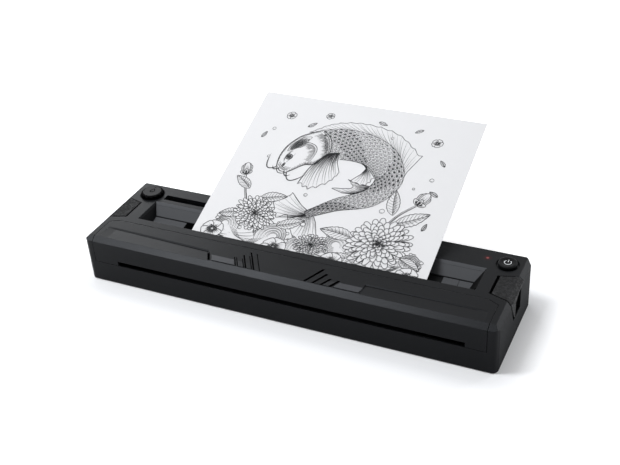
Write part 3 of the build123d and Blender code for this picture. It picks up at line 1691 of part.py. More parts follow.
def make_dial_encoder():
    """Rotary encoder body under the dial, hung from the deck."""
    x, y = dial_place()
    top = deck_z - wall
    body = box(x - 6.0, x + 6.0, y - 6.5, y + 6.5, top - 7.0, top)
    return body - rod_z(dial_stem_radius + shaft_clearance, top - 2.3, top + 1, x, y)


def make_hinge_pins():
    x0, x1 = hinge_pin_ends()
    right = rod_x(hinge_pin_radius, x0, x1, hinge_y, hinge_z)
    return Compound(children=[right.solid(), other_side(right).solid()])


def make_catch_pins():
    pin = catch_pin()
    return Compound(children=[pin.solid(), other_side(pin).solid()])


# ================================================================ assembly
def build_parts():
    platen_turn, idler_turn, pinion_turn = gear_turns()
    pad = make_lock_pad()
    hook = make_lock_hook()
    right_liner = make_lock_housing(right_travel)
    left_liner = make_lock_housing(left_travel)
    return {
        "main_casing": make_main_casing(),
        "feed_tray": make_feed_tray(),
        "rear_channel": make_rear_channel(),
        "right_lock_housing": right_liner,
        "left_lock_housing": other_side(left_liner),
        "bottom_plate": make_bottom_plate(),
        "rubber_feet": make_rubber_feet(),
        "base_screws": make_base_screws(),
        "front_cover": make_front_cover(),
        "cover_frame": make_cover_frame(),
        "hinge_pins": make_hinge_pins(),
        "catch_pins": make_catch_pins(),
        "head_heatsink": make_head_heatsink(),
        "thermal_head": make_thermal_head(),
        "head_connector": make_head_connector(),
        "head_pivot_pins": make_pivot_pins(),
        "head_springs": make_head_springs(),
        "print_chassis": make_print_chassis(),
        "chassis_screws": make_chassis_screws(),
        "platen_bushes": make_platen_bushes(),
        "platen_shaft": make_platen_shaft(),
        "platen_rubber": make_platen_rubber(),
        "platen_gear": make_gear(platen_teeth, platen_turn, platen_place(), platen_shaft_radius),
        "idler_axle": make_idler_axle(),
        "idler_gear": make_gear(idler_teeth, idler_turn, idler_place(), axle_radius + shaft_clearance),
        "motor_pinion": make_gear(pinion_teeth, pinion_turn, pinion_place(), motor_shaft_radius),
        "motor_shaft": make_motor_shaft(),
        "stepper_motor": make_stepper_motor(),
        "inlet_guide": make_inlet_guide(),
        "exit_guide": make_exit_guide(),
        "right_lock_pad": pad,
        "left_lock_pad": other_side(pad),
        "right_lock_hook": hook,
        "left_lock_hook": other_side(hook),
        "density_dial": make_density_dial(),
        "dial_encoder": make_dial_encoder(),
        "power_button": make_power_button(),
        "tact_switch": make_tact_switch(),
        "switch_board": make_switch_board(),
        "status_led": make_status_led(),
        "battery_holder": make_battery_holder(),
        "battery_cells": make_battery_cells(),
        "control_board": make_control_board(),
        "board_parts": make_board_parts(),
        "board_screws": make_board_screws(),
        "usb_socket": make_usb_socket(),
        "stencil_sheet": make_stencil_sheet(),
    }


def main():
    os.makedirs("parts", exist_ok=True)
    for name, shape in build_parts().items():
        export_step(shape, f"parts/{name}.step")


main()
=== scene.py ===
"""Dresses a portable thermal stencil copier: finishes for every moulded, metal and paper piece, its
printed line drawing and marks, the feed well's cheek, screws and springs, and a plain studio with
the camera."""

import math

import bpy
import numpy as np
from mathutils import Matrix, Vector


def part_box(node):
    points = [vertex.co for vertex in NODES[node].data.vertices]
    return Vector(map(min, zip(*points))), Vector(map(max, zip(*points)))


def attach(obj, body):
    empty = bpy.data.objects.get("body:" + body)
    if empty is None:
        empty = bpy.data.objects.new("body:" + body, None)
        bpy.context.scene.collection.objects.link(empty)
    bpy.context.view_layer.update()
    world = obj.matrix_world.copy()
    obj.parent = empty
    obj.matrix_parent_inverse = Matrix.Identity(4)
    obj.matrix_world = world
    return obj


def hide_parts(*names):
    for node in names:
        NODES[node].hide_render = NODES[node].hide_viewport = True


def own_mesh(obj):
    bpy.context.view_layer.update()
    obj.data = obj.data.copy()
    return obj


bl_info = {
    "name": "Stencil copier dressing",
    "version": (1, 0, 0),
    "blender": (4, 5, 0),
    "location": "View3D > Sidebar > Copier",
    "description": "Finishes, small pieces, line drawing and studio for a portable stencil copier",
    "category": "Object",
}

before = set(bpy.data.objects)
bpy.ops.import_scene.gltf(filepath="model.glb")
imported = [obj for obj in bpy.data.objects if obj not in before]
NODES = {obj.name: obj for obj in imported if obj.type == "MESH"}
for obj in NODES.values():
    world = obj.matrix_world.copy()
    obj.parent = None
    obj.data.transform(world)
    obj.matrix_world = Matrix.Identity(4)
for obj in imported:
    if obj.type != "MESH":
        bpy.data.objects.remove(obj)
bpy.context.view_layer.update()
MM = 0.001
DAYLIGHT = (0.955, 0.975, 1.0)
WHITE = (1.0, 1.0, 1.0, 1.0)
COOL_SHINE = (0.92, 0.95, 1.0, 1.0)           # tint of the shine on the casing and the cover
# Matt black that paints shade into gaps, grooves and recesses; also the black of the dial's printed mark
SHADE_AND_PRINT_BLACK = (0.0012, 0.0012, 0.0013)

# Places and lengths of the shell, in metres
CASE_LOW, CASE_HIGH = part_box("main_casing")
TOP_LEVEL = CASE_HIGH.z - 0.1 * MM            # just under the deck and the cover's top
SLIT_LEVEL = CASE_HIGH.z - 1.2 * MM           # between the floors of its bands and of its slits
PATTERN_FRONT = CASE_LOW.y + 5.4 * MM         # just behind the front bevel
WELL_REAR = CASE_HIGH.y - 24.5 * MM           # upper edge of the feed well's slope
WELL_BEND = WELL_REAR - 9.5 * MM              # foot of the slope
BEND_HALF = 0.4 * MM                          # half the width of the painted shade line along it
MOUTH_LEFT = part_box("stencil_sheet")[0].x - 15 * MM   # left end of the dead-black painted shade at the mouth
GAP_SHADE_WIDTH = 1.6 * MM                         # width of the painted shade round a button or dial
DISC_RADIUS = 8.0 * MM                        # the dial's smooth disc
LAMP_REACH = 4.2 * MM                         # reach of the lamp's red glow, painted on the deck

# Cheek at the right end of the feed well
CHEEK_EDGE = CASE_HIGH.x - 29.6 * MM          # its top edge, where the well meets the deck
CHEEK_SLOPE = 0.82                            # inward run for each unit of depth
CHEEK_STATIONS = ((WELL_REAR - 0.3 * MM, 0.3 * MM), (WELL_BEND, 9.2 * MM),
                  (WELL_BEND - 16.5 * MM, 12.0 * MM))   # y and depth

# Small pieces, in metres
MARK_LIFT = 0.03 * MM                         # height of a mark above its surface
DISH_DEPTH = 0.5 * MM                         # the button's dish at its middle
ISLAND_GAP = 7 * MM                           # more than the plan of one screw or spring
SPRING_WIRE = 0.45 * MM
SPRING_TURNS = 5.5

# Finishes
SHELL_SHINE = {"Specular_IOR_Level": 0.106, "Specular_Tint": COOL_SHINE}
DRIFT_SIZE = 0.045                            # slow changes of tone across a moulding
EDGE_PATCH_SIZE = 0.006                              # patches where its edges are paler: rubbed wear and a painted edge highlight
MASK_RISE = 4000.0                            # per metre: a mask goes from 0 to 1 in 0.25 mm

# Studio, in metres
# The floor is left darker near the object, a painted shadow, and whitens further away
FOOTPRINT = (CASE_HIGH.x - 10 * MM, CASE_HIGH.y)   # half sizes that the floor's fade starts from
FADE_START = 0.012                            # distance where the painted shadow begins to fade and the floor to whiten
FADE_END = 0.066                              # distance where it is whitest
FLOOR_REACH = 12.0                            # half the floor's width
LIGHT_AIM = (0.0, 0.0, 0.03)                  # the softboxes point here
SENSOR_WIDTH = 36.0                           # of the camera, in millimetres


# ---------------------------------------------------------------- sizes and colours
def amount(name, description, default, **kind):
    """A number property; kind holds its unit or subtype."""
    return bpy.props.FloatProperty(name=name, description=description, default=default, **kind)


def amounts(name, description, default, **kind):
    """A property of several numbers."""
    return bpy.props.FloatVectorProperty(name=name, description=description, default=default,
                                         size=len(default), **kind)


def millimetres(name, description, default):
    """A length property, given here in millimetres and kept in metres."""
    return amount(name, description, default * MM, unit="LENGTH", subtype="DISTANCE", precision=5)


def degrees(name, description, default):
    """An angle property, given here in degrees."""
    return amount(name, description, math.radians(default), subtype="ANGLE")


def watts(name, description, default):
    """A softbox's power property."""
    return amount(name, description, default, unit="POWER")


def colour(name, description, default):
    """A linear RGB colour property."""
    return amounts(name, description, default, subtype="COLOR", min=0.0, max=1.0)


class CopierSizes(bpy.types.PropertyGroup):
    """Lengths of the dressed pieces."""
    grain: millimetres("Plastic grain", "Size of the spark-eroded grain on the mouldings", 0.35)
    hide_grain: millimetres("Pad grain", "Size of the leather grain on the lock pads", 1.6)
    edge_round: millimetres("Edge round", "Radius of the softened edges on the mouldings", 0.35)
    ink_lift: millimetres("Ink lift", "Height of the printed lines above the paper", 0.02)


class CopierColours(bpy.types.PropertyGroup):
    """Linear colours of the finishes."""
    casing: colour("Casing", "Housing and cover plastic", (0.0050, 0.0054, 0.0062))
    tray: colour("Feed tray", "Plastic of the feed well", (0.082, 0.084, 0.089))
    # painted highlight: colour of the tilted lozenges in the cover's top, paler than the casing
    insert: colour("Cover inserts", "The paler lozenges in the cover's top", (0.043, 0.044, 0.048))
    pad: colour("Lock pads", "Grained pads at both ends", (0.0078, 0.0081, 0.0090))
    rubber: colour("Rubber", "Platen and feet", (0.0100, 0.0100, 0.0105))
    paper: colour("Stencil sheet", "Unprinted paper", (0.770, 0.762, 0.764))
    ink: colour("Ink", "Printed lines", (0.024, 0.0245, 0.026))
    lamp: colour("Status lamp", "Red of the small lamp", (0.20, 0.016, 0.016))
    board: colour("Circuit board", "Solder mask", (0.010, 0.090, 0.035))
    floor: colour("Floor", "Studio floor, as light meets it", (0.64, 0.64, 0.64))
    seen_floor: colour("Seen floor", "Studio floor, as the camera sees it", (0.75, 0.75, 0.757))


class CopierStudio(bpy.types.PropertyGroup):
    """Camera and light."""
    azimuth: degrees("Azimuth", "Camera direction, from the front towards the right", 27.2065)
    elevation: degrees("Elevation", "Camera height above level", 33.5339)
    roll: degrees("Roll", "Turn of the camera about its axis", -4.312)
    distance: amount("Distance", "Camera to the point it looks at", 0.88116, unit="LENGTH")
    look_at: amounts("Look at", "Point on the camera's axis", (-0.01419, 0.04660, 0.0215),
                     unit="LENGTH")
    lens: amount("Lens", "Focal length on a 36 mm sensor", 59.27)
    shift: amounts("Shift", "Lens shift", (0.002068, 0.004916))
    ambient: amount("Ambient", "Strength of the even light", 0.33)
    key_power: watts("Key light", "Power of the overhead softbox", 10)
    side_power: watts("Side light", "Power of the softbox behind on the left", 10.6)
    bevel_power: watts("Bevel light", "Power of the small softbox above the front", 27)
    rim_power: watts("Rim light", "Power of the softbox behind on the right", 24)
    floor_glow: amount("Floor glow", "White added to the floor where it is seen", 0.18)
    # less of this white near the object leaves a painted shadow round it
    floor_fade: amount("Floor fade", "White added further away from the object", 0.50)
    lamp_glow: amount("Lamp glow", "Strength of the status lamp", 0.10)


def sizes():
    return bpy.context.scene.copier_sizes


def colours():
    return bpy.context.scene.copier_colours


def studio():
    return bpy.context.scene.copier_studio


# ---------------------------------------------------------------- shader building
class Wire:
    """One output socket; arithmetic on it adds Math nodes."""

    def __init__(self, finish, socket):
        self.finish = finish
        self.socket = socket

    def _math(self, operation, first, second):
        return self.finish.node("ShaderNodeMath", {"operation": operation}, {0: first, 1: second})

    def __add__(self, other):
        return self._math("ADD", self, other)

    def __radd__(self, other):
        return self._math("ADD", other, self)

    def __sub__(self, other):
        return self._math("SUBTRACT", self, other)

    def __rsub__(self, other):
        return self._math("SUBTRACT", other, self)

    def __mul__(self, other):
        return self._math("MULTIPLY", self, other)

    def __rmul__(self, other):
        return self._math("MULTIPLY", other, self)

    def __truediv__(self, other):
        return self._math("DIVIDE", self, other)

    def __pow__(self, other):
        return self._math("POWER", self, other)

    def __abs__(self):
        return self._math("ABSOLUTE", self, 0.0)

    def maximum(self, other):
        return self._math("MAXIMUM", self, other)

    def above(self, level):
        return self._math("GREATER_THAN", self, level)

    def clamped(self):
        settings = {"operation": "ADD", "use_clamp": True}
        return self.finish.node("ShaderNodeMath", settings, {0: self, 1: 0.0})


class Shading:
    """One node tree, built from node() and ended by ended()."""

    def __init__(self, tree):
        self.tree = tree
        self.tree.nodes.clear()

    def node(self, kind, settings, inputs, output=0):
        """Adds a node: settings first, then each input from a number, a colour or a Wire."""
        made = self.tree.nodes.new(kind)
        for key, value in settings.items():
            if key == "stops":
                self._set_stops(made.color_ramp, value)
            else:
                setattr(made, key, value)
        for key, value in inputs.items():
            if isinstance(value, Wire):
                self.tree.links.new(value.socket, made.inputs[key])
            else:
                made.inputs[key].default_value = value
        return Wire(self, made.outputs[output])

    @staticmethod
    def _set_stops(ramp, stops):
        while len(ramp.elements) < len(stops):
            ramp.elements.new(0.5)
        for element, (position, level) in zip(ramp.elements, stops):
            element.position = position
            element.color = (level, level, level, 1.0)

    def rays(self, kind):
        """1 for rays of this kind, such as Is Camera Ray."""
        return self.node("ShaderNodeLightPath", {}, {}, kind)

    def ended(self, shader, output):
        """Puts this shader on the tree's output node."""
        out = self.tree.nodes.new(output)
        self.tree.links.new(shader.socket, out.inputs["Surface"])


class Finish(Shading):
    """One material, whose nodes read the object's own coordinates."""

    def __init__(self, name):
        self.material = bpy.data.materials.new(name)
        self.material.use_nodes = True
        super().__init__(self.material.node_tree)
        self.place = self.node("ShaderNodeTexCoord", {}, {}, "Object")

    def noise(self, size, detail=2.0, roughness=0.5, place=None):
        """Soft noise, 0 to 1, whose blobs are about size metres across."""
        inputs = {"Vector": place or self.place, "Scale": 1.0 / size, "Detail": detail,
                  "Roughness": roughness}
        return self.node("ShaderNodeTexNoise", {}, inputs)

    def cells(self, size, feature="F1", place=None, randomness=1.0):
        """Distance field of Voronoi cells about size metres across."""
        inputs = {"Vector": place or self.place, "Scale": 1.0 / size, "Randomness": randomness}
        return self.node("ShaderNodeTexVoronoi", {"feature": feature}, inputs)

    def ramp(self, value, stops):
        """Mask that follows the stops, pairs of value and level."""
        return self.node("ShaderNodeValToRGB", {"stops": stops}, {"Fac": value})

    def mix(self, factor, first, second):
        """Colour between first and second, which go to the Mix node's two colour sockets, 6 and 7."""
        inputs = {0: factor, 6: rgba(first), 7: rgba(second)}
        return self.node("ShaderNodeMix", {"data_type": "RGBA"}, inputs, 2)

    def parts(self, vector):
        """The three parts of a vector."""
        split = self.tree.nodes.new("ShaderNodeSeparateXYZ")
        self.tree.links.new(vector.socket, split.inputs[0])
        return [Wire(self, socket) for socket in split.outputs]

    def facing(self):
        """Flat normal in the object's own frame."""
        true = self.node("ShaderNodeNewGeometry", {}, {}, "True Normal")
        settings = {"vector_type": "NORMAL", "convert_from": "WORLD", "convert_to": "OBJECT"}
        return self.node("ShaderNodeVectorTransform", settings, {0: true})

    def vector_math(self, operation, first, second, output=0):
        """One step of arithmetic on vectors."""
        settings = {"operation": operation}
        return self.node("ShaderNodeVectorMath", settings, {0: first, 1: second}, output)

    def stretched(self, scale):
        """Object coordinates scaled along each axis."""
        return self.node("ShaderNodeMapping", {}, {"Vector": self.place, "Scale": scale})

    def soft_edges(self, radius):
        """Normal rounded over the edges, and a mask that is 1 where the rounding acts."""
        rounded = self.node("ShaderNodeBevel", {"samples": 4}, {"Radius": radius})
        flat = self.node("ShaderNodeNewGeometry", {}, {}, "Normal")
        match = self.vector_math("DOT_PRODUCT", rounded, flat, "Value")
        return rounded, ((1.0 - match) * 6.0).clamped()

    def away_from(self, node):
        """Distance in plan from the middle of a CAD node."""
        x, y, _ = round_plan(node)
        moved = self.vector_math("SUBTRACT", self.place, (x, y, 0.0))
        flat = self.vector_math("MULTIPLY", moved, (1.0, 1.0, 0.0))
        return self.node("ShaderNodeVectorMath", {"operation": "LENGTH"}, {0: flat}, "Value")

    def bump(self, height, distance, normal=None):
        """Normal raised by height, 0 to 1, times distance."""
        inputs = {"Height": height, "Distance": distance, "Strength": 1.0}
        if normal is not None:
            inputs["Normal"] = normal
        return self.node("ShaderNodeBump", {}, inputs)

    def principled(self, sockets):
        """Principled shader with these socket values or wires."""
        inputs = {key.replace("_", " "): value for key, value in sockets.items()}
        return self.node("ShaderNodeBsdfPrincipled", {}, inputs)

    def surface(self, painted_shade=None, **sockets):
        """Ends the material in a Principled shader, mixed to a matt black where the shade mask is 1:
        painted shade.
        """
        shader = self.principled(sockets)
        if painted_shade is not None:
            black = self.principled(SHADE_AND_PRINT_SOCKETS)
            shader = self.node("ShaderNodeMixShader", {}, {0: painted_shade, 1: shader, 2: black})
        self.ended(shader, "ShaderNodeOutputMaterial")
        return self.material


def rgba(value):
    """A Wire as it is, or a colour with its fourth number added."""
    if isinstance(value, Wire):
        return value
    given = tuple(value)
    return given if len(given) == 4 else given + (1.0,)


def shade(value, factor):
    """The colour made darker or paler by a factor."""
    return tuple(min(1.0, part * factor) for part in value)


def round_plan(node):
    """Middle and radius, in plan, of a round CAD node."""
    low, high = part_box(node)
    return (low.x + high.x) / 2, (low.y + high.y) / 2, (high.x - low.x) / 2


# Sockets of that matt black: painted shade in gaps and grooves, and the dial's print
SHADE_AND_PRINT_SOCKETS = {"Base_Color": rgba(SHADE_AND_PRINT_BLACK), "Roughness": 1.0, "Specular_IOR_Level": 0.0}


# ---------------------------------------------------------------- finishes
class Moulding(Finish):
    """Moulded plastic: spark-eroded grain, slow drift in tone and gloss, paler edges: rubbed wear and a
    painted highlight.
    """

    def __init__(self, name, base, roughness=0.32, grain=None, depth=0.007, worn=0.35, edge=None):
        super().__init__(name)
        grain = grain or sizes().grain
        drift = self.noise(DRIFT_SIZE, 2.0)
        fine = self.noise(grain, 3.0, 0.6)
        pits = self.cells(grain * 1.6)
        rounded, edges = self.soft_edges(edge or sizes().edge_round)
        # paler edges: partly rubbed wear, partly a painted highlight along them
        wear_and_edge_highlight = edges * self.ramp(self.noise(EDGE_PATCH_SIZE, 3.0), [(0.35, 0.25), (0.65, 1.0)])
        body = self.mix(drift, shade(base, 0.82), shade(base, 1.18))
        self.tone = self.mix(wear_and_edge_highlight * worn, body, shade(base, 3.2))
        self.gloss = roughness + (drift - 0.5) * 0.08 + (fine - 0.5) * 0.10 - wear_and_edge_highlight * 0.06
        self.normal = self.bump(fine * 0.6 + pits * 0.4, depth * MM, rounded)


def moulded(name, base, roughness=0.32, specular=0.1, **look):
    """Moulded plastic of one tone."""
    finish = Moulding(name, base, roughness, **look)
    return finish.surface(Base_Color=finish.tone, Roughness=finish.gloss,
                          Specular_IOR_Level=specular, Normal=finish.normal)


def feed_well(name, base, dark):
    """Feed tray: grey slope and floor, black end walls, a painted shade line along the fold where the
    slope meets the floor, and painted dead-black shade at the left of the mouth."""
    finish = Finish(name)
    x, y, _ = finish.parts(finish.place)
    drift = finish.noise(0.030, 2.0)
    fine = finish.noise(sizes().grain, 3.0, 0.6)
    ends = finish.ramp(abs(finish.parts(finish.facing())[0]), [(0.45, 0.0), (0.65, 1.0)])
    # painted shade: a dark line along the fold where the slope meets the floor
    bend = 1.0 - ((abs(y - WELL_BEND) - BEND_HALF) * MASK_RISE).clamped()
    floor = ((WELL_BEND - y) * (MASK_RISE / 2)).clamped()
    rounded, _ = finish.soft_edges(0.3 * MM)
    slope = finish.mix(drift, shade(base, 0.94), shade(base, 1.06))
    tone = finish.mix(floor, slope, shade(base, 0.86))
    tone = finish.mix((ends + bend * 0.9).clamped(), tone, dark)
    # painted shade: the floor at the left of the mouth goes dead black
    painted_mouth_shade = (x - MOUTH_LEFT).above(0.0) * (0.0 - x).above(0.0) * (WELL_BEND - y).above(0.0)
    gloss = 0.50 + (drift - 0.5) * 0.08 + (fine - 0.5) * 0.10
    return finish.surface(painted_mouth_shade, Base_Color=tone, Roughness=gloss, Specular_IOR_Level=0.06,
                          Normal=finish.bump(fine, 0.012 * MM, rounded))


def casing_shell(name, base, tray, lamp):
    """Casing plastic with local tones: the cut edge above the tray's slope matches the tray, the lamp's
    red glow is painted on the deck round it, and painted shade blacks out the gaps round the dial and
    button."""
    finish = Moulding(name, base)
    _, y, z = finish.parts(finish.place)
    across, slope, _ = finish.parts(finish.facing())
    near_rear = (y - WELL_REAR + 3.0 * MM).above(0.0) * (WELL_REAR + 0.4 * MM - y).above(0.0)
    band = ((-0.4 - slope) * 20.0).clamped() * near_rear
    # painted light: the lamp's red glow is painted into the deck's colour round it
    reach = finish.away_from("status_led") / LAMP_REACH
    glow = finish.ramp(reach, [(0.25, 1.0), (0.55, 0.35), (1.0, 0.0)])
    painted_lamp_glow = glow * (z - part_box("status_led")[1].z + 0.6 * MM).above(0.0)
    tone = finish.mix(band, finish.tone, tray)
    tone = finish.mix(painted_lamp_glow * 0.3, tone, lamp)
    ends = finish.ramp(abs(across), [(0.85, 0.0), (0.95, 1.0)])
    # painted shade: the deck round the button and the dial goes dead black, as if in the gap's shadow
    painted_gap_shades = painted_gap_shade(finish, "power_button").maximum(painted_gap_shade(finish, "density_dial"))
    return finish.surface((z - TOP_LEVEL).above(0.0) * painted_gap_shades, Base_Color=tone,
                          Roughness=finish.gloss + ends * 0.36, Normal=finish.normal, **SHELL_SHINE)


def painted_gap_shade(finish, node):
    """Mask of painted shade in and beside the gap round a button or dial that stands in the deck."""
    gap = finish.away_from(node) - round_plan(node)[2]
    return finish.ramp(gap / GAP_SHADE_WIDTH, [(0.0, 1.0), (0.55, 0.85), (1.0, 0.0)])


def cover_shell(name, base, insert):
    """Cover plastic: the tilted lozenges in the top are painted paler as a highlight, and the slits and
    grooves are painted dead black as shade.
    """
    finish = Moulding(name, base)
    _, back, up = finish.parts(finish.facing())
    _, y, z = finish.parts(finish.place)
    # painted highlight: faces tilted back like the lozenges are painted paler
    tilted = finish.ramp(back, [(0.068, 0.0), (0.082, 1.0), (0.13, 1.0), (0.16, 0.0)])
    steep = finish.ramp(up, [(0.5, 1.0), (0.75, 0.0)])
    pattern = (TOP_LEVEL - z).above(0.0) * (y - PATTERN_FRONT).above(0.0)
    # painted shade: the slits' floors and the steep walls in the pattern go dead black
    painted_groove_shade = steep.maximum((SLIT_LEVEL - z).above(0.0)) * pattern
    tone = finish.mix(tilted * up.above(0.9), finish.tone, insert)
    return finish.surface(painted_groove_shade, Base_Color=tone, Roughness=finish.gloss, Normal=finish.normal,
                          **SHELL_SHINE)


def hide_grain(name, base):
    """Pad skin: rounded pebbles parted by fine creases, with small pores."""
    finish = Finish(name)
    size = sizes().hide_grain
    warp = finish.noise(size * 3.0, 2.0)
    pebbles = finish.cells(size, "DISTANCE_TO_EDGE")
    small = finish.cells(size * 0.45)
    creases = finish.ramp(pebbles, [(0.0, 0.0), (0.16, 1.0)])
    rounded, edges = finish.soft_edges(0.5 * MM)
    height = creases * 0.75 + (1.0 - small) * 0.25
    worn = finish.ramp(finish.noise(size * 1.1, 2.0, 0.6), [(0.40, 0.0), (0.62, 1.0)])
    skin = finish.mix(warp, shade(base, 1.6), shade(base, 2.4))
    # darker in the creases between pebbles, a painted shade, and in random patches
    tone = finish.mix(creases * worn, shade(base, 0.3), skin)
    # paler at the edges: a painted edge highlight
    tone = finish.mix(edges * 0.3, tone, shade(base, 3.5))
    gloss = 0.66 - creases * worn * 0.22 + (warp - 0.5) * 0.10
    normal = finish.bump(height, 0.22 * MM, rounded)
    return finish.surface(Base_Color=tone, Roughness=gloss, Specular_IOR_Level=0.15, Normal=normal)


def rubber(name, base):
    """Matt rubber with a dusty bloom."""
    finish = Finish(name)
    bloom = finish.noise(0.004, 4.0, 0.65)
    fine = finish.noise(0.0002, 2.0)
    tone = finish.mix(bloom, base, shade(base, 2.4))
    return finish.surface(Base_Color=tone, Roughness=0.72 + bloom * 0.15, Specular_IOR_Level=0.35,
                          Normal=finish.bump(fine, 0.01 * MM))


def metal(name, base, roughness, stretch=(1.0, 1.0, 1.0)):
    """Bare metal with drawn or turned marks along one axis and slight stain."""
    finish = Finish(name)
    marks = finish.noise(0.0004, 3.0, 0.6, finish.stretched(stretch))
    stain = finish.noise(0.008, 3.0)
    tone = finish.mix(stain, shade(base, 0.82), base)
    gloss = roughness + (marks - 0.5) * 0.22 + (stain - 0.5) * 0.10
    return finish.surface(Base_Color=tone, Metallic=1.0, Roughness=gloss,
                          Normal=finish.bump(marks, 0.004 * MM))


def ceramic(name):
    """Glazed print bar: pale glaze with faint clouding."""
    finish = Finish(name)
    cloud = finish.noise(0.003, 3.0)
    tone = finish.mix(cloud, (0.62, 0.60, 0.56), (0.74, 0.72, 0.68))
    return finish.surface(Base_Color=tone, Roughness=0.18 + cloud * 0.1, Coat_Weight=0.4)


def paper(name, base):
    """Stencil paper: faint fibres and cloudy formation."""
    finish = Finish(name)
    felt = finish.noise(0.0006, 4.0, 0.7, finish.stretched((1.0, 3.0, 3.0)))
    cloud = finish.noise(0.012, 3.0)
    tone = finish.mix(cloud * 0.6 + felt * 0.4, shade(base, 0.965), base)
    return finish.surface(Base_Color=tone, Roughness=0.62 + felt * 0.1, Specular_IOR_Level=0.3,
                          Normal=finish.bump(felt, 0.012 * MM))


def ink(name, base):
    """Thermal ink: dark grey, a little uneven."""
    finish = Finish(name)
    uneven = finish.noise(0.0018, 3.0, 0.7)
    tone = finish.mix(uneven, shade(base, 0.5), shade(base, 2.2))
    return finish.surface(Base_Color=tone, Roughness=0.55 + uneven * 0.1, Specular_IOR_Level=0.3)


def dead_print(name):
    """Matt black print."""
    return Finish(name).surface(**SHADE_AND_PRINT_SOCKETS)


def solder_mask(name, base):
    """Circuit board: green mask over faint copper tracks."""
    finish = Finish(name)
    grid = finish.cells(0.0035, "DISTANCE_TO_EDGE", finish.stretched((1.0, 0.35, 1.0)), 0.35)
    tracks = finish.ramp(grid, [(0.02, 1.0), (0.06, 0.0)])
    tone = finish.mix(tracks * 0.6, base, shade(base, 2.1))
    return finish.surface(Base_Color=tone, Roughness=0.32 + tracks * 0.1,
                          Normal=finish.bump(tracks, 0.03 * MM))


def dial_knob(name, base):
    """Dial: a satin disc with edges painted paler as a highlight, and outside it a skirt painted
    near-black as shade.
    """
    finish = Finish(name)
    away = finish.away_from("density_dial")
    # painted shade: the skirt outside the disc is darkened and partly dead black
    painted_skirt_shade = ((away - DISC_RADIUS) * MASK_RISE).clamped()
    fine = finish.noise(0.00035, 3.0, 0.6)
    drift = finish.noise(0.006, 2.0)
    rings = finish.node("ShaderNodeCombineXYZ", {}, {0: away})
    turned = finish.noise(0.0002, 1.0, place=rings)
    rounded, edges = finish.soft_edges(0.25 * MM)
    disc = finish.mix(drift, shade(base, 0.85), shade(base, 1.1))
    tone = finish.mix(painted_skirt_shade, disc, shade(base, 0.35))
    # painted highlight: paler along the edges
    tone = finish.mix(edges * 0.25, tone, shade(base, 3.0))
    normal = finish.bump(turned * 0.4 + fine * 0.6, 0.008 * MM, rounded)
    return finish.surface(painted_skirt_shade * 0.85, Base_Color=tone, Roughness=0.42 + (fine - 0.5) * 0.10,
                          Specular_IOR_Level=0.12, Normal=normal)


def button_cap(name, base):
    """Power button: polished dish with faint smears, painted paler round its rim and edges as a
    highlight.
    """
    finish = Finish(name)
    away = finish.away_from("power_button")
    smear = finish.noise(0.004, 4.0, 0.65)
    fine = finish.noise(0.00025, 2.0)
    rounded, edges = finish.soft_edges(0.4 * MM)
    rim = finish.ramp(away / round_plan("power_button")[2], [(0.60, 0.0), (0.80, 1.0)])
    # painted highlight: paler round the rim and along the edges
    tone = finish.mix(rim * 0.5 + edges * 0.5, base, shade(base, 3.0))
    gloss = 0.26 + smear * 0.12 + rim * 0.10
    return finish.surface(Base_Color=tone, Roughness=gloss, Specular_IOR_Level=0.08,
                          Normal=finish.bump(fine, 0.003 * MM, rounded))


def lamp_lens(name, base):
    """Red lamp lens, dimly lit from within and cloudy."""
    finish = Finish(name)
    depth = finish.noise(0.0009, 1.0)
    tone = finish.mix(depth, shade(base, 0.6), base)
    return finish.surface(Base_Color=tone, Roughness=0.30 + depth * 0.1, Emission_Color=tone,
                          Emission_Strength=studio().lamp_glow)


def cell_wrap(name):
    """Shrink sleeve of the battery cells: glossy blue-green, finely wrinkled."""
    finish = Finish(name)
    wrinkle = finish.noise(0.0022, 3.0)
    tone = finish.mix(wrinkle, (0.010, 0.070, 0.110), (0.016, 0.100, 0.150))
    return finish.surface(Base_Color=tone, Roughness=0.22 + wrinkle * 0.12,
                          Normal=finish.bump(wrinkle, 0.05 * MM))


def nylon(name, base):
    """Milky nylon for gears and bushes."""
    finish = Finish(name)
    cloud = finish.noise(0.002, 3.0)
    tone = finish.mix(cloud, shade(base, 0.9), base)
    return finish.surface(Base_Color=tone, Roughness=0.38 + cloud * 0.1,
                          Normal=finish.bump(finish.noise(0.0003, 2.0), 0.006 * MM))


def finish_nodes(material, *names):
    """Gives each of these CAD nodes this material."""
    for name in names:
        slots = NODES[name].data.materials
        slots.clear()
        slots.append(material)


# ---------------------------------------------------------------- mesh building
def coords(*parts):
    """Points whose coordinates come from these arrays or single numbers."""
    return np.stack(np.broadcast_arrays(*parts), axis=-1)


def ring_points(turn):
    """Points of the unit circle at these angles."""
    return coords(np.cos(turn), np.sin(turn))


def circle(count):
    """Unit circle whose last point is its first."""
    return ring_points(np.linspace(0.0, 2 * math.pi, count))


def sideways(line):
    """Unit normals of a line, a quarter turn left of its direction."""
    along = np.gradient(line, axis=0)
    along /= np.maximum(np.hypot(along[:, 0], along[:, 1]), 1e-9)[:, None]
    return coords(-along[:, 1], along[:, 0])


def run_of(line):
    """Length along a line up to each of its points."""
    return np.concatenate([[0.0], np.cumsum(np.hypot(*np.diff(line, axis=0).T))])


def sampled(at, run, line):
    """The line's points at these places of its run."""
    return coords(np.interp(at, run, line[:, 0]), np.interp(at, run, line[:, 1]))


def node_points(name):
    """Every vertex of a CAD node."""
    mesh = NODES[name].data
    points = np.empty(len(mesh.vertices) * 3)
    mesh.vertices.foreach_get("co", points)
    return points.reshape(-1, 3)


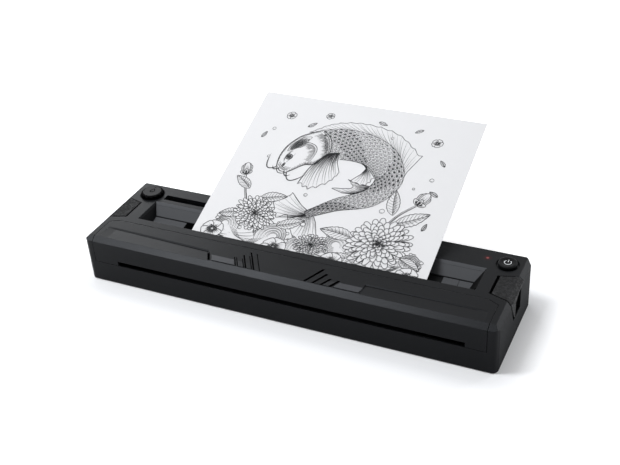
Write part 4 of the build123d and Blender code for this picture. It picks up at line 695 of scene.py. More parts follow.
def new_piece(name, vertices, faces, body, material, smooth=True):
    """A mesh object from points in metres and lists of their numbers, riding on a body."""
    mesh = bpy.data.meshes.new(name)
    mesh.from_pydata(np.asarray(vertices, float).tolist(), [], faces)
    mesh.validate()
    mesh.polygons.foreach_set("use_smooth", np.full(len(mesh.polygons), smooth))
    mesh.materials.append(material)
    piece = bpy.data.objects.new(name, mesh)
    bpy.context.scene.collection.objects.link(piece)
    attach(piece, body)
    return piece


def grid_faces(rows, columns):
    """Quads of a tube whose points are numbered row by row, each row a closed ring."""
    r, c = np.meshgrid(np.arange(rows - 1), np.arange(columns), indexing="ij")
    beside = (c + 1) % columns
    this, after = r * columns, (r + 1) * columns
    corners = [this + c, after + c, after + beside, this + beside]
    return np.stack([corner.ravel() for corner in corners], axis=1)


def strip_faces(first):
    """Quads between neighbours of a band, where point n has its two edges at 2 n and 2 n + 1."""
    return np.stack([2 * first, 2 * first + 2, 2 * first + 3, 2 * first + 1], axis=1)


# ---------------------------------------------------------------- line drawing
PEN_STEP = 0.55                  # millimetres between the points of a stroke
PEN_WEIGHT = 1.3                 # every pen width times this
TAPER = 0.35                     # share of a stroke that each of its tapered ends takes
PAGE_POINTS = 600000             # room for the points of every stroke
PETAL_PEAK = 0.72                # about the widest of s to the 0.7 times (1 - s) to the blunt
HEAD_SHARE = 0.235               # the carp's head ends here along its spine


class Drawing:
    """Pen strokes on a flat page, in millimetres. A shape laid over them hides what it covers."""

    def __init__(self):
        self.spot = np.zeros((PAGE_POINTS, 2))
        self.side = np.zeros((PAGE_POINTS, 2))
        self.owner = np.zeros(PAGE_POINTS, int)
        self.shown = np.zeros(PAGE_POINTS, bool)
        self.count = 0
        self.strokes = 0

    def stroke(self, points, width, start, end):
        """A pen line: points even in length, and a half width that tapers to start and to end."""
        points = np.asarray(points, float)
        run = run_of(points)
        if run[-1] < 1e-6:
            return
        samples = max(3, int(run[-1] / PEN_STEP) + 2)
        even = np.linspace(0.0, run[-1], samples)
        line = sampled(even, run, points)
        share = even / run[-1]
        rise = start + (1 - start) * share / TAPER
        fall = end + (1 - end) * (1 - share) / TAPER
        half = PEN_WEIGHT * width / 2 * np.clip(np.minimum(rise, fall), 0.0, 1.0)
        span = slice(self.count, self.count + samples)
        self.spot[span] = line
        self.side[span] = sideways(line) * half[:, None]
        self.owner[span] = self.strokes
        self.shown[span] = True
        self.count += samples
        self.strokes += 1

    def cover(self, outline):
        """Hides every earlier point inside the outline: a level ray from it crosses an odd number
        of edges."""
        outline = np.asarray(outline, float)
        low, high = outline.min(0), outline.max(0)
        drawn = self.spot[:self.count]
        within = (drawn >= low).all(1) & (drawn <= high).all(1)
        near = np.nonzero(self.shown[:self.count] & within)[0]
        if len(near) == 0:
            return
        x, y = drawn[near, 0][:, None], drawn[near, 1][:, None]
        x0, y0 = outline.T
        x1, y1 = np.roll(outline, -1, axis=0).T
        rise = np.where(y1 == y0, 1e-12, y1 - y0)
        crossed = ((y0 > y) != (y1 > y)) & (x < (x1 - x0) * (y - y0) / rise + x0)
        self.shown[near[crossed.sum(1) % 2 == 1]] = False

    def shape(self, outline, width):
        """Hides what lies under a closed outline, then inks the outline."""
        self.cover(outline)
        closed = np.concatenate([outline, outline[:1]])
        self.stroke(closed, width, 0.8, 0.8)

    def ribbons(self):
        """Two points for each pen point, half the width to each side, and a quad between neighbours."""
        spot, side = self.spot[:self.count], self.side[:self.count]
        edges = np.stack([spot - side, spot + side], axis=1).reshape(-1, 2)
        first = np.arange(self.count - 1)
        same_stroke = self.owner[first] == self.owner[first + 1]
        joined = same_stroke & self.shown[first] & self.shown[first + 1]
        used, faces = np.unique(strip_faces(first[joined]), return_inverse=True)
        return edges[used], faces.reshape(-1, 4)


def smooth_line(points, count=60):
    """Catmull-Rom curve: each span blends its two points and their neighbours with cubic weights."""
    points = np.asarray(points, float)
    around = np.concatenate([2 * points[:1] - points[1:2], points, 2 * points[-1:] - points[-2:-1]])
    spans = len(around) - 3
    t = np.linspace(0.0, spans, count)
    k = np.minimum(t.astype(int), spans - 1)
    f = (t - k)[:, None]
    a, b, c, d = (around[k + step] for step in range(4))
    cubic = (3 * b - a - 3 * c + d) * f ** 3
    return 0.5 * (2 * b + (c - a) * f + (2 * a - 5 * b + 4 * c - d) * f ** 2 + cubic)


def turning(angle):
    """Matrix that turns rows of points by an angle."""
    return np.array([[math.cos(angle), math.sin(angle)], [-math.sin(angle), math.cos(angle)]])


def placed(points, x, y, angle, squash=1.0, squash_angle=0.0):
    """The points turned by angle, flattened along squash_angle and moved to (x, y)."""
    lean = turning(squash_angle)
    flat = (points @ turning(angle)) @ lean.T * np.array([1.0, squash])
    return flat @ lean + np.array([x, y])


def closed_form(x, middle, half):
    """Closed outline: out along the upper edge, back along the lower one."""
    upper, lower = coords(x, middle + half), coords(x, middle - half)
    return np.concatenate([upper, lower[::-1][1:-1]])


def petal_form(length, width, bend, blunt):
    """Petal along +x: half width is width/2 times s to the 0.7 times (1 - s) to the blunt, made 1
    at its widest; the middle line bends sideways as s squared."""
    s = np.linspace(0.0, 1.0, 36)
    half = s ** 0.7 * (1 - s) ** blunt
    half *= width / 2 / half.max()
    return closed_form(length * s, bend * s ** 2, half)


def petal(page, rng, x, y, angle, length, width, bend, blunt, veins, squash=(1.0, 0.0), shadow=0.5):
    """One petal: its outline, veins that fan from the root, and short hatching near the root."""
    def ray(share, s, pen, end):
        half = s ** 0.7 * (1 - s) ** blunt * width / 2 / PETAL_PEAK
        line = coords(length * s, bend * s ** 2 + share * half)
        page.stroke(placed(line, x, y, angle, *squash), pen, 1.0, end)

    page.shape(placed(petal_form(length, width, bend, blunt), x, y, angle, *squash), 0.40)
    for share in np.linspace(-0.72, 0.72, veins):
        ray(share, np.linspace(0.08, rng.uniform(0.5, 0.86), 14), 0.20, 0.1)
    for share in np.linspace(-0.85, 0.85, int(veins * (1.5 + 2 * shadow))):
        tip = rng.uniform(0.22 + 0.35 * shadow, 0.34 + 0.52 * shadow)
        ray(share, np.linspace(0.05, tip, 12), 0.24, 0.05)


def chrysanthemum(page, rng, x, y, radius, turn, squash=(0.86, 0.3)):
    """Rings of narrow petals from the outside in; each ring hides the roots of the one before."""
    rings = [(21, 1.00, 0.205), (20, 0.88, 0.195), (18, 0.75, 0.185), (16, 0.62, 0.17),
             (13, 0.49, 0.155), (10, 0.36, 0.14), (8, 0.25, 0.12), (5, 0.15, 0.09)]
    for ring, (count, reach, width) in enumerate(rings):
        for number in rng.permutation(count):
            angle = turn + ring * 0.37 + 2 * math.pi * number / count + rng.uniform(-0.05, 0.05)
            length = radius * reach * rng.uniform(0.94, 1.05)
            bend = radius * rng.uniform(-0.07, 0.07)
            petal(page, rng, x, y, angle, length, radius * width, bend, 0.38, 3, squash, 0.9)


def leaf(page, rng, x, y, angle, length, width, bend, teeth=7):
    """Toothed leaf: a pointed form whose edge steps in at each tooth, a midrib, side veins, and
    hatching on one side."""
    def half_at(s):
        return np.sin(math.pi * s ** 0.85) ** 0.9 * width / 2

    def vein(s, rise, pen, start, end):
        page.stroke(placed(coords(length * s, bend * s ** 2 + rise), x, y, angle), pen, start, end)

    s = np.linspace(0.0, 1.0, 90)
    saw = 1.0 - 0.16 * np.mod(s * teeth, 1.0) * np.sin(math.pi * s)
    outline = closed_form(length * s, bend * s ** 2, half_at(s) * saw)
    page.shape(placed(outline, x, y, angle), 0.42)
    vein(s, 0.0, 0.34, 1.0, 0.2)
    for root in np.linspace(0.10, 0.86, teeth + 1):
        for side in (-1.0, 1.0):
            t = np.linspace(0.0, 1.0, 10)
            at = root + 0.13 * t
            vein(at, side * half_at(at) * 0.86 * t ** 0.8, 0.22, 1.0, 0.2)
    for root in np.linspace(0.06, 0.94, int(length * 1.1)):
        t = np.linspace(0.04, rng.uniform(0.45, 0.8), 6)
        at = np.clip(root + 0.07 * t, 0, 1)
        vein(at, -half_at(at) * 0.84 * t, 0.17, 0.9, 0.1)


def bud(page, rng, x, y, angle, size):
    """Closed bud: a cone of narrow petals in three sepals."""
    for lean, reach in ((-0.32, 0.86), (0.32, 0.86), (-0.14, 0.97), (0.14, 0.97), (0.0, 1.05)):
        petal(page, rng, x, y, angle + lean, size * reach, size * 0.42, 0.0, 0.5, 3)
    for lean in (-0.75, 0.75, 0.0):
        petal(page, rng, x, y, angle + lean, size * 0.5, size * 0.3, lean * size * 0.12, 0.7, 3,
              shadow=1.0)


def stem(page, points):
    """Stalk: two edges beside a smooth middle line, with fine lines between."""
    width = 1.5
    line = smooth_line(points)
    side = sideways(line) * width / 2
    page.cover(np.concatenate([line + side, (line - side)[::-1]]))
    for share, pen in ((-1.0, 0.36), (1.0, 0.36), (-0.55, 0.18), (-0.2, 0.14)):
        page.stroke(line + side * share, pen, 0.6, 0.6)


class Fish:
    """A carp along a smooth spine: place(t, c) is the spine's point at share t plus c times the
    half width along the normal, and the half width rises to the shoulder and thins to the tail."""

    def __init__(self, spine, girth):
        line = smooth_line(spine, 240)
        run = run_of(line)
        self.girth = girth
        self.length = run[-1]
        self.line = sampled(np.linspace(0.0, run[-1], 240), run, line)
        self.normal = sideways(self.line)
        self.share = np.linspace(0.0, 1.0, 240)

    def half(self, t):
        """Half width: nose round, widest at a quarter, then a smooth fall to the tail root."""
        nose = np.clip(t / 0.16, 0, 1) ** 0.55
        fall = 1.0 - 0.80 * np.clip((t - 0.22) / 0.78, 0, 1) ** 1.25
        return self.girth / 2 * nose * fall

    def place(self, t, c):
        """Points at share t of the spine and c half widths beside it."""
        t, c = np.broadcast_arrays(np.asarray(t, float), np.asarray(c, float))
        reach = (c * self.half(t))[..., None]
        return sampled(t, self.share, self.line) + sampled(t, self.share, self.normal) * reach

    def outline(self, end=1.0):
        """Closed line round the body from the nose to end."""
        t = np.linspace(0.0, end, 90)
        return np.concatenate([self.place(t, 1.0), self.place(t[::-1], -1.0)])


def fin(page, rng, roots, tips, rays, sway, pen=0.24):
    """Fin: rays run from the root line to the scalloped tip line, bowed by sway."""
    count = 50
    root, tip = smooth_line(roots, count), smooth_line(tips, count)
    share = np.linspace(0.0, 1.0, count)
    scallop = 1.0 - 0.07 * np.abs(np.sin(share * rays * math.pi / 2))
    along = tip - root
    edge = root + along * scallop[:, None]
    across = coords(-along[:, 1], along[:, 0])
    page.cover(np.concatenate([root, edge[::-1]]))
    page.stroke(edge, 0.42, 0.9, 0.9)
    for k in (0, -1):
        bowed = (root[k] + edge[k]) / 2 + across[k] * sway
        page.stroke(np.stack([root[k], bowed, edge[k]]), 0.42, 1.0, 1.0)
    for number in range(rays * 3):
        k = int((number + 0.5) / (rays * 3) * (count - 1))
        whole = number % 3 == 0
        s = np.linspace(0.0, 1.0 if whole else rng.uniform(0.35, 0.9), 22)[:, None]
        path = root[k] + (edge[k] - root[k]) * s + across[k] * sway * 4 * s * (1 - s)
        page.stroke(path, pen if whole else pen * 0.62, 1.0, 0.25)
        page.stroke(path[:rng.integers(4, 10)], pen * 1.5, 1.0, 0.0)


def koi(page, rng, fish):
    """Carp: scales from tail to head so that each hides the root of the next, then the head."""
    page.shape(fish.outline(), 0.5)
    rows = int(fish.length * 0.80 / 3.7)
    for row in range(rows):
        t0 = 0.985 - row * (0.985 - HEAD_SHARE) / (rows - 1)
        lanes = max(4, int(round(float(fish.half(t0)) * 2 / 4.0)))
        offset = 0.5 if row % 2 else 0.0
        for lane in range(lanes + 1):
            c0 = -1.0 + 2.0 * (lane + offset) / lanes
            if c0 <= 1.0:
                scale_mark(page, rng, fish, t0, c0, 3.4 / fish.length, 1.16 / lanes)
    koi_head(page, rng, fish)


def scale_mark(page, rng, fish, t0, c0, reach, spread):
    """Scale: a rounded arc towards the tail, an inner arc, and hatching that fans from its root."""
    def place(angle, long, wide):
        across = np.clip(c0 + spread * wide * np.sin(angle), -1, 1)
        return fish.place(t0 + reach * long * np.cos(angle), across)

    arc = place(np.linspace(-1.75, 1.75, 18), 1.15, 1.0)
    page.cover(arc)
    page.stroke(arc, 0.36, 0.4, 0.4)
    page.stroke(place(np.linspace(-1.2, 1.2, 10), 0.82, 0.72), 0.18, 0.3, 0.3)
    dark = 0.5 + 0.5 * math.sin(t0 * 23.0 + 1.7 * c0) > 0.62
    low, high = (0.75, 0.95) if dark else (0.5, 0.7)
    for angle in np.linspace(-1.0, 1.0, 9 if dark or abs(c0) > 0.72 else 5):
        s = np.array([0.05, rng.uniform(low, high)])
        page.stroke(place(angle, s, 0.8 * s), 0.26 if dark else 0.18, 1.0, 0.2)


def koi_head(page, rng, fish):
    """Head: gill cover with fanned lines, crown patch, edge hatching and the face."""
    page.cover(fish.outline(HEAD_SHARE))
    t = np.linspace(0.0, HEAD_SHARE, 40)
    for side in (1.0, -1.0):
        page.stroke(fish.place(t, side), 0.60, 0.9, 0.9)
    c = np.linspace(-1.0, 1.0, 40)
    for shift, pen in ((0.0, 0.6), (-0.008, 0.24), (-0.016, 0.18)):
        page.stroke(fish.place(HEAD_SHARE + shift + 0.030 * (1 - c ** 2), c), pen, 0.6, 0.6)
    plate = 0.150 + 0.052 * (1 - (c / 0.85) ** 2)
    page.stroke(fish.place(plate, c * 0.82 - 0.05), 0.46, 0.3, 0.3)
    page.stroke(fish.place(plate - 0.010, c * 0.74 - 0.05), 0.22, 0.2, 0.2)
    for c0 in np.linspace(-0.90, 0.80, 52):
        rim = 0.219 + 0.030 * (1 - c0 ** 2)
        s = np.linspace(0.0, rng.uniform(0.35, 0.95), 8)
        page.stroke(fish.place(rim - 0.034 * s, c0 * (1 - 0.10 * s)), 0.24, 1.0, 0.1)
    for c0 in np.linspace(-0.72, 0.56, 34):
        s = np.linspace(0.0, rng.uniform(0.4, 1.0), 8)
        edge = 0.196 - 0.052 * ((c0 + 0.05) / 0.70) ** 2
        page.stroke(fish.place(edge - 0.040 * s, c0 * (1 - 0.35 * s)), 0.20, 1.0, 0.1)
    crown_patch(page, rng, fish)
    edge_hatching(page, rng, fish, 0.02, 0.22)
    koi_face(page, fish)


def crown_patch(page, rng, fish):
    """Dark patch on the crown: two crossed sets of lines inside a wavy border."""
    t0, c0 = 0.148, 0.64
    turn = np.linspace(0.0, 2 * math.pi, 60)
    border = 1.0 + 0.16 * np.sin(3 * turn) + 0.08 * np.sin(7 * turn)
    edge = fish.place(t0 + 0.040 * border * np.cos(turn), c0 + 0.24 * border * np.sin(turn))
    page.stroke(edge, 0.36, 1.0, 1.0)
    for share in np.linspace(-0.9, 0.9, 17):
        reach = math.sqrt(1 - share ** 2)
        s = np.linspace(-reach, reach * rng.uniform(0.6, 1.0), 10)
        page.stroke(fish.place(t0 + 0.038 * share, c0 + 0.23 * s), 0.34, 0.5, 0.3)
        page.stroke(fish.place(t0 + 0.038 * s, c0 + 0.23 * share), 0.24, 0.5, 0.3)


def edge_hatching(page, rng, fish, start, end):
    """Short lines from both edges of the body inwards, longer below."""
    for t in np.linspace(start, end, int((end - start) * fish.length * 1.3)):
        for side, reach in ((1.0, 0.14), (-1.0, 0.30)):
            s = np.linspace(0.0, 1.0, 6)
            inwards = side * (1.0 - reach * rng.uniform(0.5, 1.0) * s)
            page.stroke(fish.place(t + 0.010 * s, inwards), 0.24, 1.0, 0.1)


def koi_face(page, fish):
    """Ringed eye with a brow, nostril, lips and long barbels."""
    t0, c0 = 0.088, 0.30
    eye = fish.place(t0, c0)
    turn = np.linspace(0.0, 2 * math.pi, 40)
    ring = ring_points(turn)
    for start in np.linspace(0.064, 0.112, 12):
        brow = fish.place(start + np.linspace(0.0, 0.006, 5), 0.46 + np.linspace(0.0, 0.12, 5))
        page.stroke(brow, 0.22, 1.0, 0.1)
    page.shape(eye + ring * 3.1, 0.50)
    for radius, pen in ((2.5, 0.20), (2.0, 0.26), (1.35, 0.7), (0.85, 0.7), (0.4, 0.6)):
        page.stroke(eye + ring * radius, pen, 1.0, 1.0)
    for arc, long, wide, pen in ((turn[4:18], 0.034, 0.19, 0.5), (turn[22:36], 0.036, 0.20, 0.3)):
        page.stroke(fish.place(t0 + long * np.cos(arc), c0 + wide * np.sin(arc)), pen, 0.2, 0.2)
    for scale, pen in ((1.0, 0.4), (0.5, 0.5)):
        nostril = fish.place(0.046 + 0.010 * scale * np.cos(turn), 0.22 + 0.09 * scale * np.sin(turn))
        page.stroke(nostril, pen, 1.0, 1.0)
    mouth = np.linspace(-0.75, 0.9, 24)
    for rise, bow, pen in ((0.012, 0.016, 0.7), (0.022, 0.018, 0.34), (0.033, 0.018, 0.5),
                           (0.040, 0.016, 0.2)):
        page.stroke(fish.place(rise + bow * mouth ** 2, mouth * (1 - rise * 4)), pen, 0.4, 0.4)
    for at in np.linspace(-0.6, 0.75, 15):
        page.stroke(fish.place(np.array([0.024, 0.031]) + 0.017 * at ** 2, at), 0.2, 1.0, 0.4)
    barbels(page, fish)


def barbels(page, fish):
    """Four barbels from the lips: out across the head, ahead in a sine and back as s squared."""
    ahead = fish.place(0.0, 0.0) - fish.place(0.06, 0.0)
    ahead /= np.hypot(*ahead)
    cross = fish.place(0.03, 1.0) - fish.place(0.03, -1.0)
    cross /= np.hypot(*cross)
    s = np.linspace(0.0, 1.0, 30)[:, None]
    for side, reach, back in ((0.95, 15.0, 0.9), (-0.95, 17.0, 0.7), (0.45, 7.0, 0.2),
                              (-0.5, 8.0, 0.2)):
        out = math.copysign(1.0, side) * cross * reach * s
        curl = ahead * reach * (0.55 * np.sin(s * 2.6) - back * s ** 2)
        page.stroke(fish.place(0.022, side) + out + curl, 0.8, 1.0, 0.05)


def flow_lines(page, rng, low, count):
    """Water: long lines of two added waves each, broken here and there."""
    for number in range(count):
        level = low + 1.9 * number
        x = -97.0
        while x < 96.0:
            reach = rng.uniform(18.0, 46.0)
            run = np.linspace(x, min(x + reach, 98.0), 40)
            bow = 2.6 * np.sin(run / 13.0 + 0.45 * number) + 1.1 * np.sin(run / 5.3 + number)
            page.stroke(coords(run, level + bow), rng.uniform(0.22, 0.42), 0.1, 0.1)
            x += reach + rng.uniform(1.5, 7.0)


def wave_curl(page, rng, x, y, radius, flip):
    """Breaking wave: bands between spirals of shrinking radius, with foam beads along the crest."""
    tail = 2.2
    middle = np.array([x, y])
    turn = np.linspace(-0.35, 1.55 * math.pi, 80)
    spiral = radius * (1.0 - 0.115 * (turn + 0.35))
    crest = coords(flip * spiral * np.cos(turn), spiral * np.sin(turn))
    foot = np.array([[flip * radius * tail, -radius * 0.9], [flip * radius * 0.3, -radius * 1.05]])
    page.cover(np.concatenate([crest, foot]) + middle)
    for band, pen in ((1.0, 0.5), (0.88, 0.22), (0.80, 0.34), (0.70, 0.2), (0.64, 0.34), (0.52, 0.2),
                      (0.46, 0.3), (0.36, 0.18), (0.30, 0.28)):
        page.stroke(crest * band + middle, pen, 0.3, 0.3)
    sweep = np.linspace(0.0, 1.0, 40)[:, None]
    bow = np.array([0.0, -radius * 0.30]) * np.sin(math.pi * sweep)
    for band in np.linspace(0.50, 1.0, 5):
        start = np.array([flip * radius * band, -radius * 0.33 * band])
        end = np.array([flip * radius * tail * (0.55 + 0.45 * band), -radius * (0.55 + 0.35 * band)])
        page.stroke(start + (end - start) * sweep + bow + middle, 0.24, 0.9, 0.1)
    for _ in range(22):
        at = crest[int(rng.uniform(4, 76))] * rng.uniform(1.02, 1.16) + middle
        bead(page, at, rng.uniform(0.7, 1.9))


def bead(page, at, size):
    """Round drop with a highlight arc."""
    ring = circle(22)
    page.shape(at + ring[:-1] * size, 0.32)
    page.stroke(at + ring[13:19] * size * 0.62, 0.18, 0.3, 0.3)


def blossom(page, rng, x, y, size, petals, turn):
    """Small open flower: broad petals, then stamens with dots."""
    middle = np.array([x, y])
    for number in range(petals):
        angle = turn + 2 * math.pi * number / petals
        petal(page, rng, x, y, angle, size, size * 0.95, 0.0, 0.25, 5, (0.9, 0.4))
    for number in range(petals * 3):
        angle = turn + 2 * math.pi * number / (petals * 3)
        tip = middle + size * rng.uniform(0.28, 0.46) * ring_points(angle)
        page.stroke([middle, tip], 0.2, 1.0, 1.0)
        bead(page, tip, 0.45)
    bead(page, middle, size * 0.12)


def draw_background(page, rng):
    """Small flowers and leaves round the edges, then water and breaking waves."""
    for x, y, size, turn in ((-70, 158, 4.6, 0.3), (70, 152, 5.0, 1.2), (-34, 164, 3.8, 0.8)):
        blossom(page, rng, x, y, size, 5, turn)
    for x, y, angle, length in ((-50, 148, 0.6, 9), (84, 128, 2.2, 8), (12, 166, -0.4, 9),
                                (-88, 128, 1.1, 8), (54, 164, 3.6, 8), (88, 96, 2.6, 9),
                                (-20, 150, 1.9, 7), (86, 60, 1.2, 8)):
        leaf(page, rng, x, y, angle, length, length * 0.42, 0.8, 4)
    flow_lines(page, rng, 6.0, 11)
    for x, y, radius, flip in ((-80, 30, 14, 1.0), (-32, 26, 17, -1.0), (22, 30, 17, 1.0),
                               (88, 26, 12, -1.0), (-6, 20, 15, -1.0)):
        wave_curl(page, rng, x, y, radius, flip)


def draw_carp(page, rng):
    """Tail, back and belly fins, the body over them, and the near fin over the body."""
    spine = [(-56, 92), (-44, 118), (-14, 134), (22, 130), (42, 108), (34, 84), (8, 70), (-14, 54)]
    fish = Fish(spine, 37.0)
    fin(page, rng, fish.place([0.97, 1.0, 0.97], [1.0, 0.0, -1.0]),
        [(-34, 74), (-47, 62), (-40, 46), (-30, 50), (-22, 36), (-8, 26), (4, 34)], 22, 0.05)
    fin(page, rng, fish.place(np.linspace(0.26, 0.66, 5), 0.96),
        [(-46, 142), (-28, 156), (0, 162), (34, 156), (62, 136)], 26, 0.06)
    fin(page, rng, fish.place(np.linspace(0.70, 0.80, 3), -0.95),
        [(8, 98), (14, 90), (-4, 86)], 9, 0.08)
    fin(page, rng, fish.place(np.linspace(0.42, 0.50, 3), -0.92),
        [(30, 104), (24, 94), (10, 96)], 9, 0.08)
    koi(page, rng, fish)
    fin(page, rng, fish.place([0.25, 0.28, 0.31], -0.55),
        [(-34, 84), (-22, 80), (-8, 90), (-2, 102)], 13, -0.08, 0.28)


def draw_flowers(page, rng):
    """Stems, leaves, buds, large and small flowers, and loose drops in front."""
    stem(page, [(46, 30), (60, 66), (74, 84)])
    stem(page, [(-62, 40), (-76, 66), (-84, 84)])
    for x, y, angle, length, width, bend in (
            (62, 62, 0.4, 30, 13, 4), (58, 70, 1.9, 26, 12, -3), (34, 40, 2.9, 30, 13, 4),
            (40, 22, 3.5, 26, 12, -4), (78, 30, -0.5, 20, 11, 2), (-60, 62, 0.4, 24, 11, -3),
            (-74, 70, 2.4, 20, 10, 3), (-70, 44, 3.3, 20, 10, 2), (-34, 38, 0.3, 24, 11, 3)):
        leaf(page, rng, x, y, angle, length, width, bend)
    bud(page, rng, 74, 84, 1.1, 15)
    bud(page, rng, -84, 84, 1.8, 13)
    chrysanthemum(page, rng, 56, 40, 29, 0.2)
    chrysanthemum(page, rng, -58, 46, 21, 0.9, (0.82, -0.4))
    chrysanthemum(page, rng, 2, 26, 15, 0.5, (0.7, 0.1))
    for x, y, size, turn in ((-88, 22, 10, 0.4), (-28, 16, 11, 1.3), (24, 14, 10, 0.2),
                             (88, 14, 10, 0.8)):
        blossom(page, rng, x, y, size, 6, turn)
    for spot in ((-22, 74), (-72, 108), (66, 100), (48, 72), (78, 112), (-12, 44), (-80, 140),
                 (30, 150)):
        bead(page, spot, rng.uniform(1.0, 2.2))


def compose_drawing():
    """The whole page: water and leaves at the back, the carp over them, flowers in front."""
    page = Drawing()
    rng = np.random.default_rng(20)
    draw_background(page, rng)
    draw_carp(page, rng)
    draw_flowers(page, rng)
    return page


def sheet_places(spots, lift):
    """Page millimetres to metres on the sheet's upper face: x across from its middle, y up its
    slope."""
    corners = node_points("stencil_sheet")
    near = corners[corners[:, 1].argmin()]
    far = corners[corners[:, 1].argmax()]
    lean = math.atan2(far[2] - near[2], far[1] - near[1])
    along = np.array([0.0, math.cos(lean), math.sin(lean)])
    rise = np.array([0.0, -math.sin(lean), math.cos(lean)])
    origin = along * (corners @ along).min() + rise * ((corners @ rise).max() + lift)
    origin[0] = (corners[:, 0].min() + corners[:, 0].max()) / 2
    across = np.array([1.0, 0.0, 0.0])
    return origin + np.outer(spots[:, 0] * MM, across) + np.outer(spots[:, 1] * MM, along)


# ---------------------------------------------------------------- small pieces
def flat_strip(line, half, height):
    """Flat band: each point of the line moved half to both sides along its normal, at one height."""
    side = sideways(line) * half
    both = np.stack([line - side, line + side], axis=1).reshape(-1, 2)
    vertices = np.column_stack([both, np.full(len(both), height)])
    return vertices, strip_faces(np.arange(len(line) - 1))


def join_parts(parts):
    """One vertex array and one list of faces from several pairs."""
    vertices, faces, total = [], [], 0
    for some, quads in parts:
        vertices.append(some)
        faces += (quads + total).tolist()
        total += len(some)
    return np.concatenate(vertices), faces


def node_islands(name):
    """Boxes (low, high) of a node's separate solids, parted where their plans lie apart."""
    spots = node_points(name)
    boxes = []
    while len(spots):
        near = np.hypot(*(spots[:, :2] - spots[0, :2]).T) < ISLAND_GAP
        boxes.append((spots[near].min(0), spots[near].max(0)))
        spots = spots[~near]
    return boxes


def recess_depth(x, y, r, radius):
    """1 on the floor of a cross recess: where either of two bars reaches, and not near the rim."""
    bar = radius * 0.13
    taper = np.clip((radius * 0.60 - r) / (radius * 0.12), 0, 1)
    bars = [np.clip((bar - np.abs(side)) / (bar * 0.5), 0, 1) for side in (x, y)]
    return np.maximum(*bars) * taper


def recessed_screw(radius, shaft_radius, head, length, pitch):
    """Screw with its head up at z = 0: a domed head with a cross recess, and a shaft whose radius
    rises and falls with height / pitch minus turn, a thread."""
    count = 64
    turn = np.linspace(0.0, 2 * math.pi, count, endpoint=False)

    def rows(r, z):
        """Points at radius r and height z, either of which may be a column of numbers."""
        return coords(r * np.cos(turn), r * np.sin(turn), z)

    share = np.concatenate([np.linspace(0.02, 0.66, 12), [0.72, 0.84, 0.94, 1.0]])[:, None]
    r = share * radius
    recess = recess_depth(r * np.cos(turn), r * np.sin(turn), r, radius)
    top = rows(r, -head * 0.22 * share ** 6 - head * 0.62 * recess)
    rim = rows(np.array([[radius], [shaft_radius]]), np.array([[-head * 0.45], [-head]]))
    levels = np.linspace(-head, -length * 0.93, 70)[:, None]
    wave = 0.5 + 0.5 * np.cos(2 * math.pi * (levels / pitch) + turn)
    shaft = rows(shaft_radius * (0.80 + 0.20 * wave), levels)
    point = rows(np.array([[0.02 * shaft_radius]]), -length)
    points = np.concatenate([top, rim, shaft, point])
    return points.reshape(-1, 3), grid_faces(len(points), count)


def coil_spring(radius, low, high):
    """Round wire on a helix whose rise is flat for the first and last turn: centre (R cos a,
    R sin a, h(a)), tube points wire times (cos b outwards + sin b along the binormal)."""
    wire, around = SPRING_WIRE, 10
    a = np.linspace(0.0, 2 * math.pi * SPRING_TURNS, int(SPRING_TURNS * 28))
    share = np.clip((a / (2 * math.pi) - 0.8) / (SPRING_TURNS - 1.6), 0, 1)
    pitch_low = wire * np.minimum(a / (2 * math.pi), 0.8)
    pitch_high = wire * np.minimum((a[-1] - a) / (2 * math.pi), 0.8)
    free = (high - low - wire - 1.6 * wire) * share
    h = low + wire / 2 + pitch_low + free + (0.8 * wire - pitch_high)
    out = coords(np.cos(a), np.sin(a), 0.0)
    centre = coords(radius * np.cos(a), radius * np.sin(a), h)
    along = np.gradient(centre, axis=0)
    along /= np.linalg.norm(along, axis=1)[:, None]
    b = np.linspace(0.0, 2 * math.pi, around, endpoint=False)[:, None]
    round_wire = out[:, None] * np.cos(b) + np.cross(along, out)[:, None] * np.sin(b)
    tube = centre[:, None] + wire / 2 * round_wire
    return tube.reshape(-1, 3), grid_faces(len(a), around)


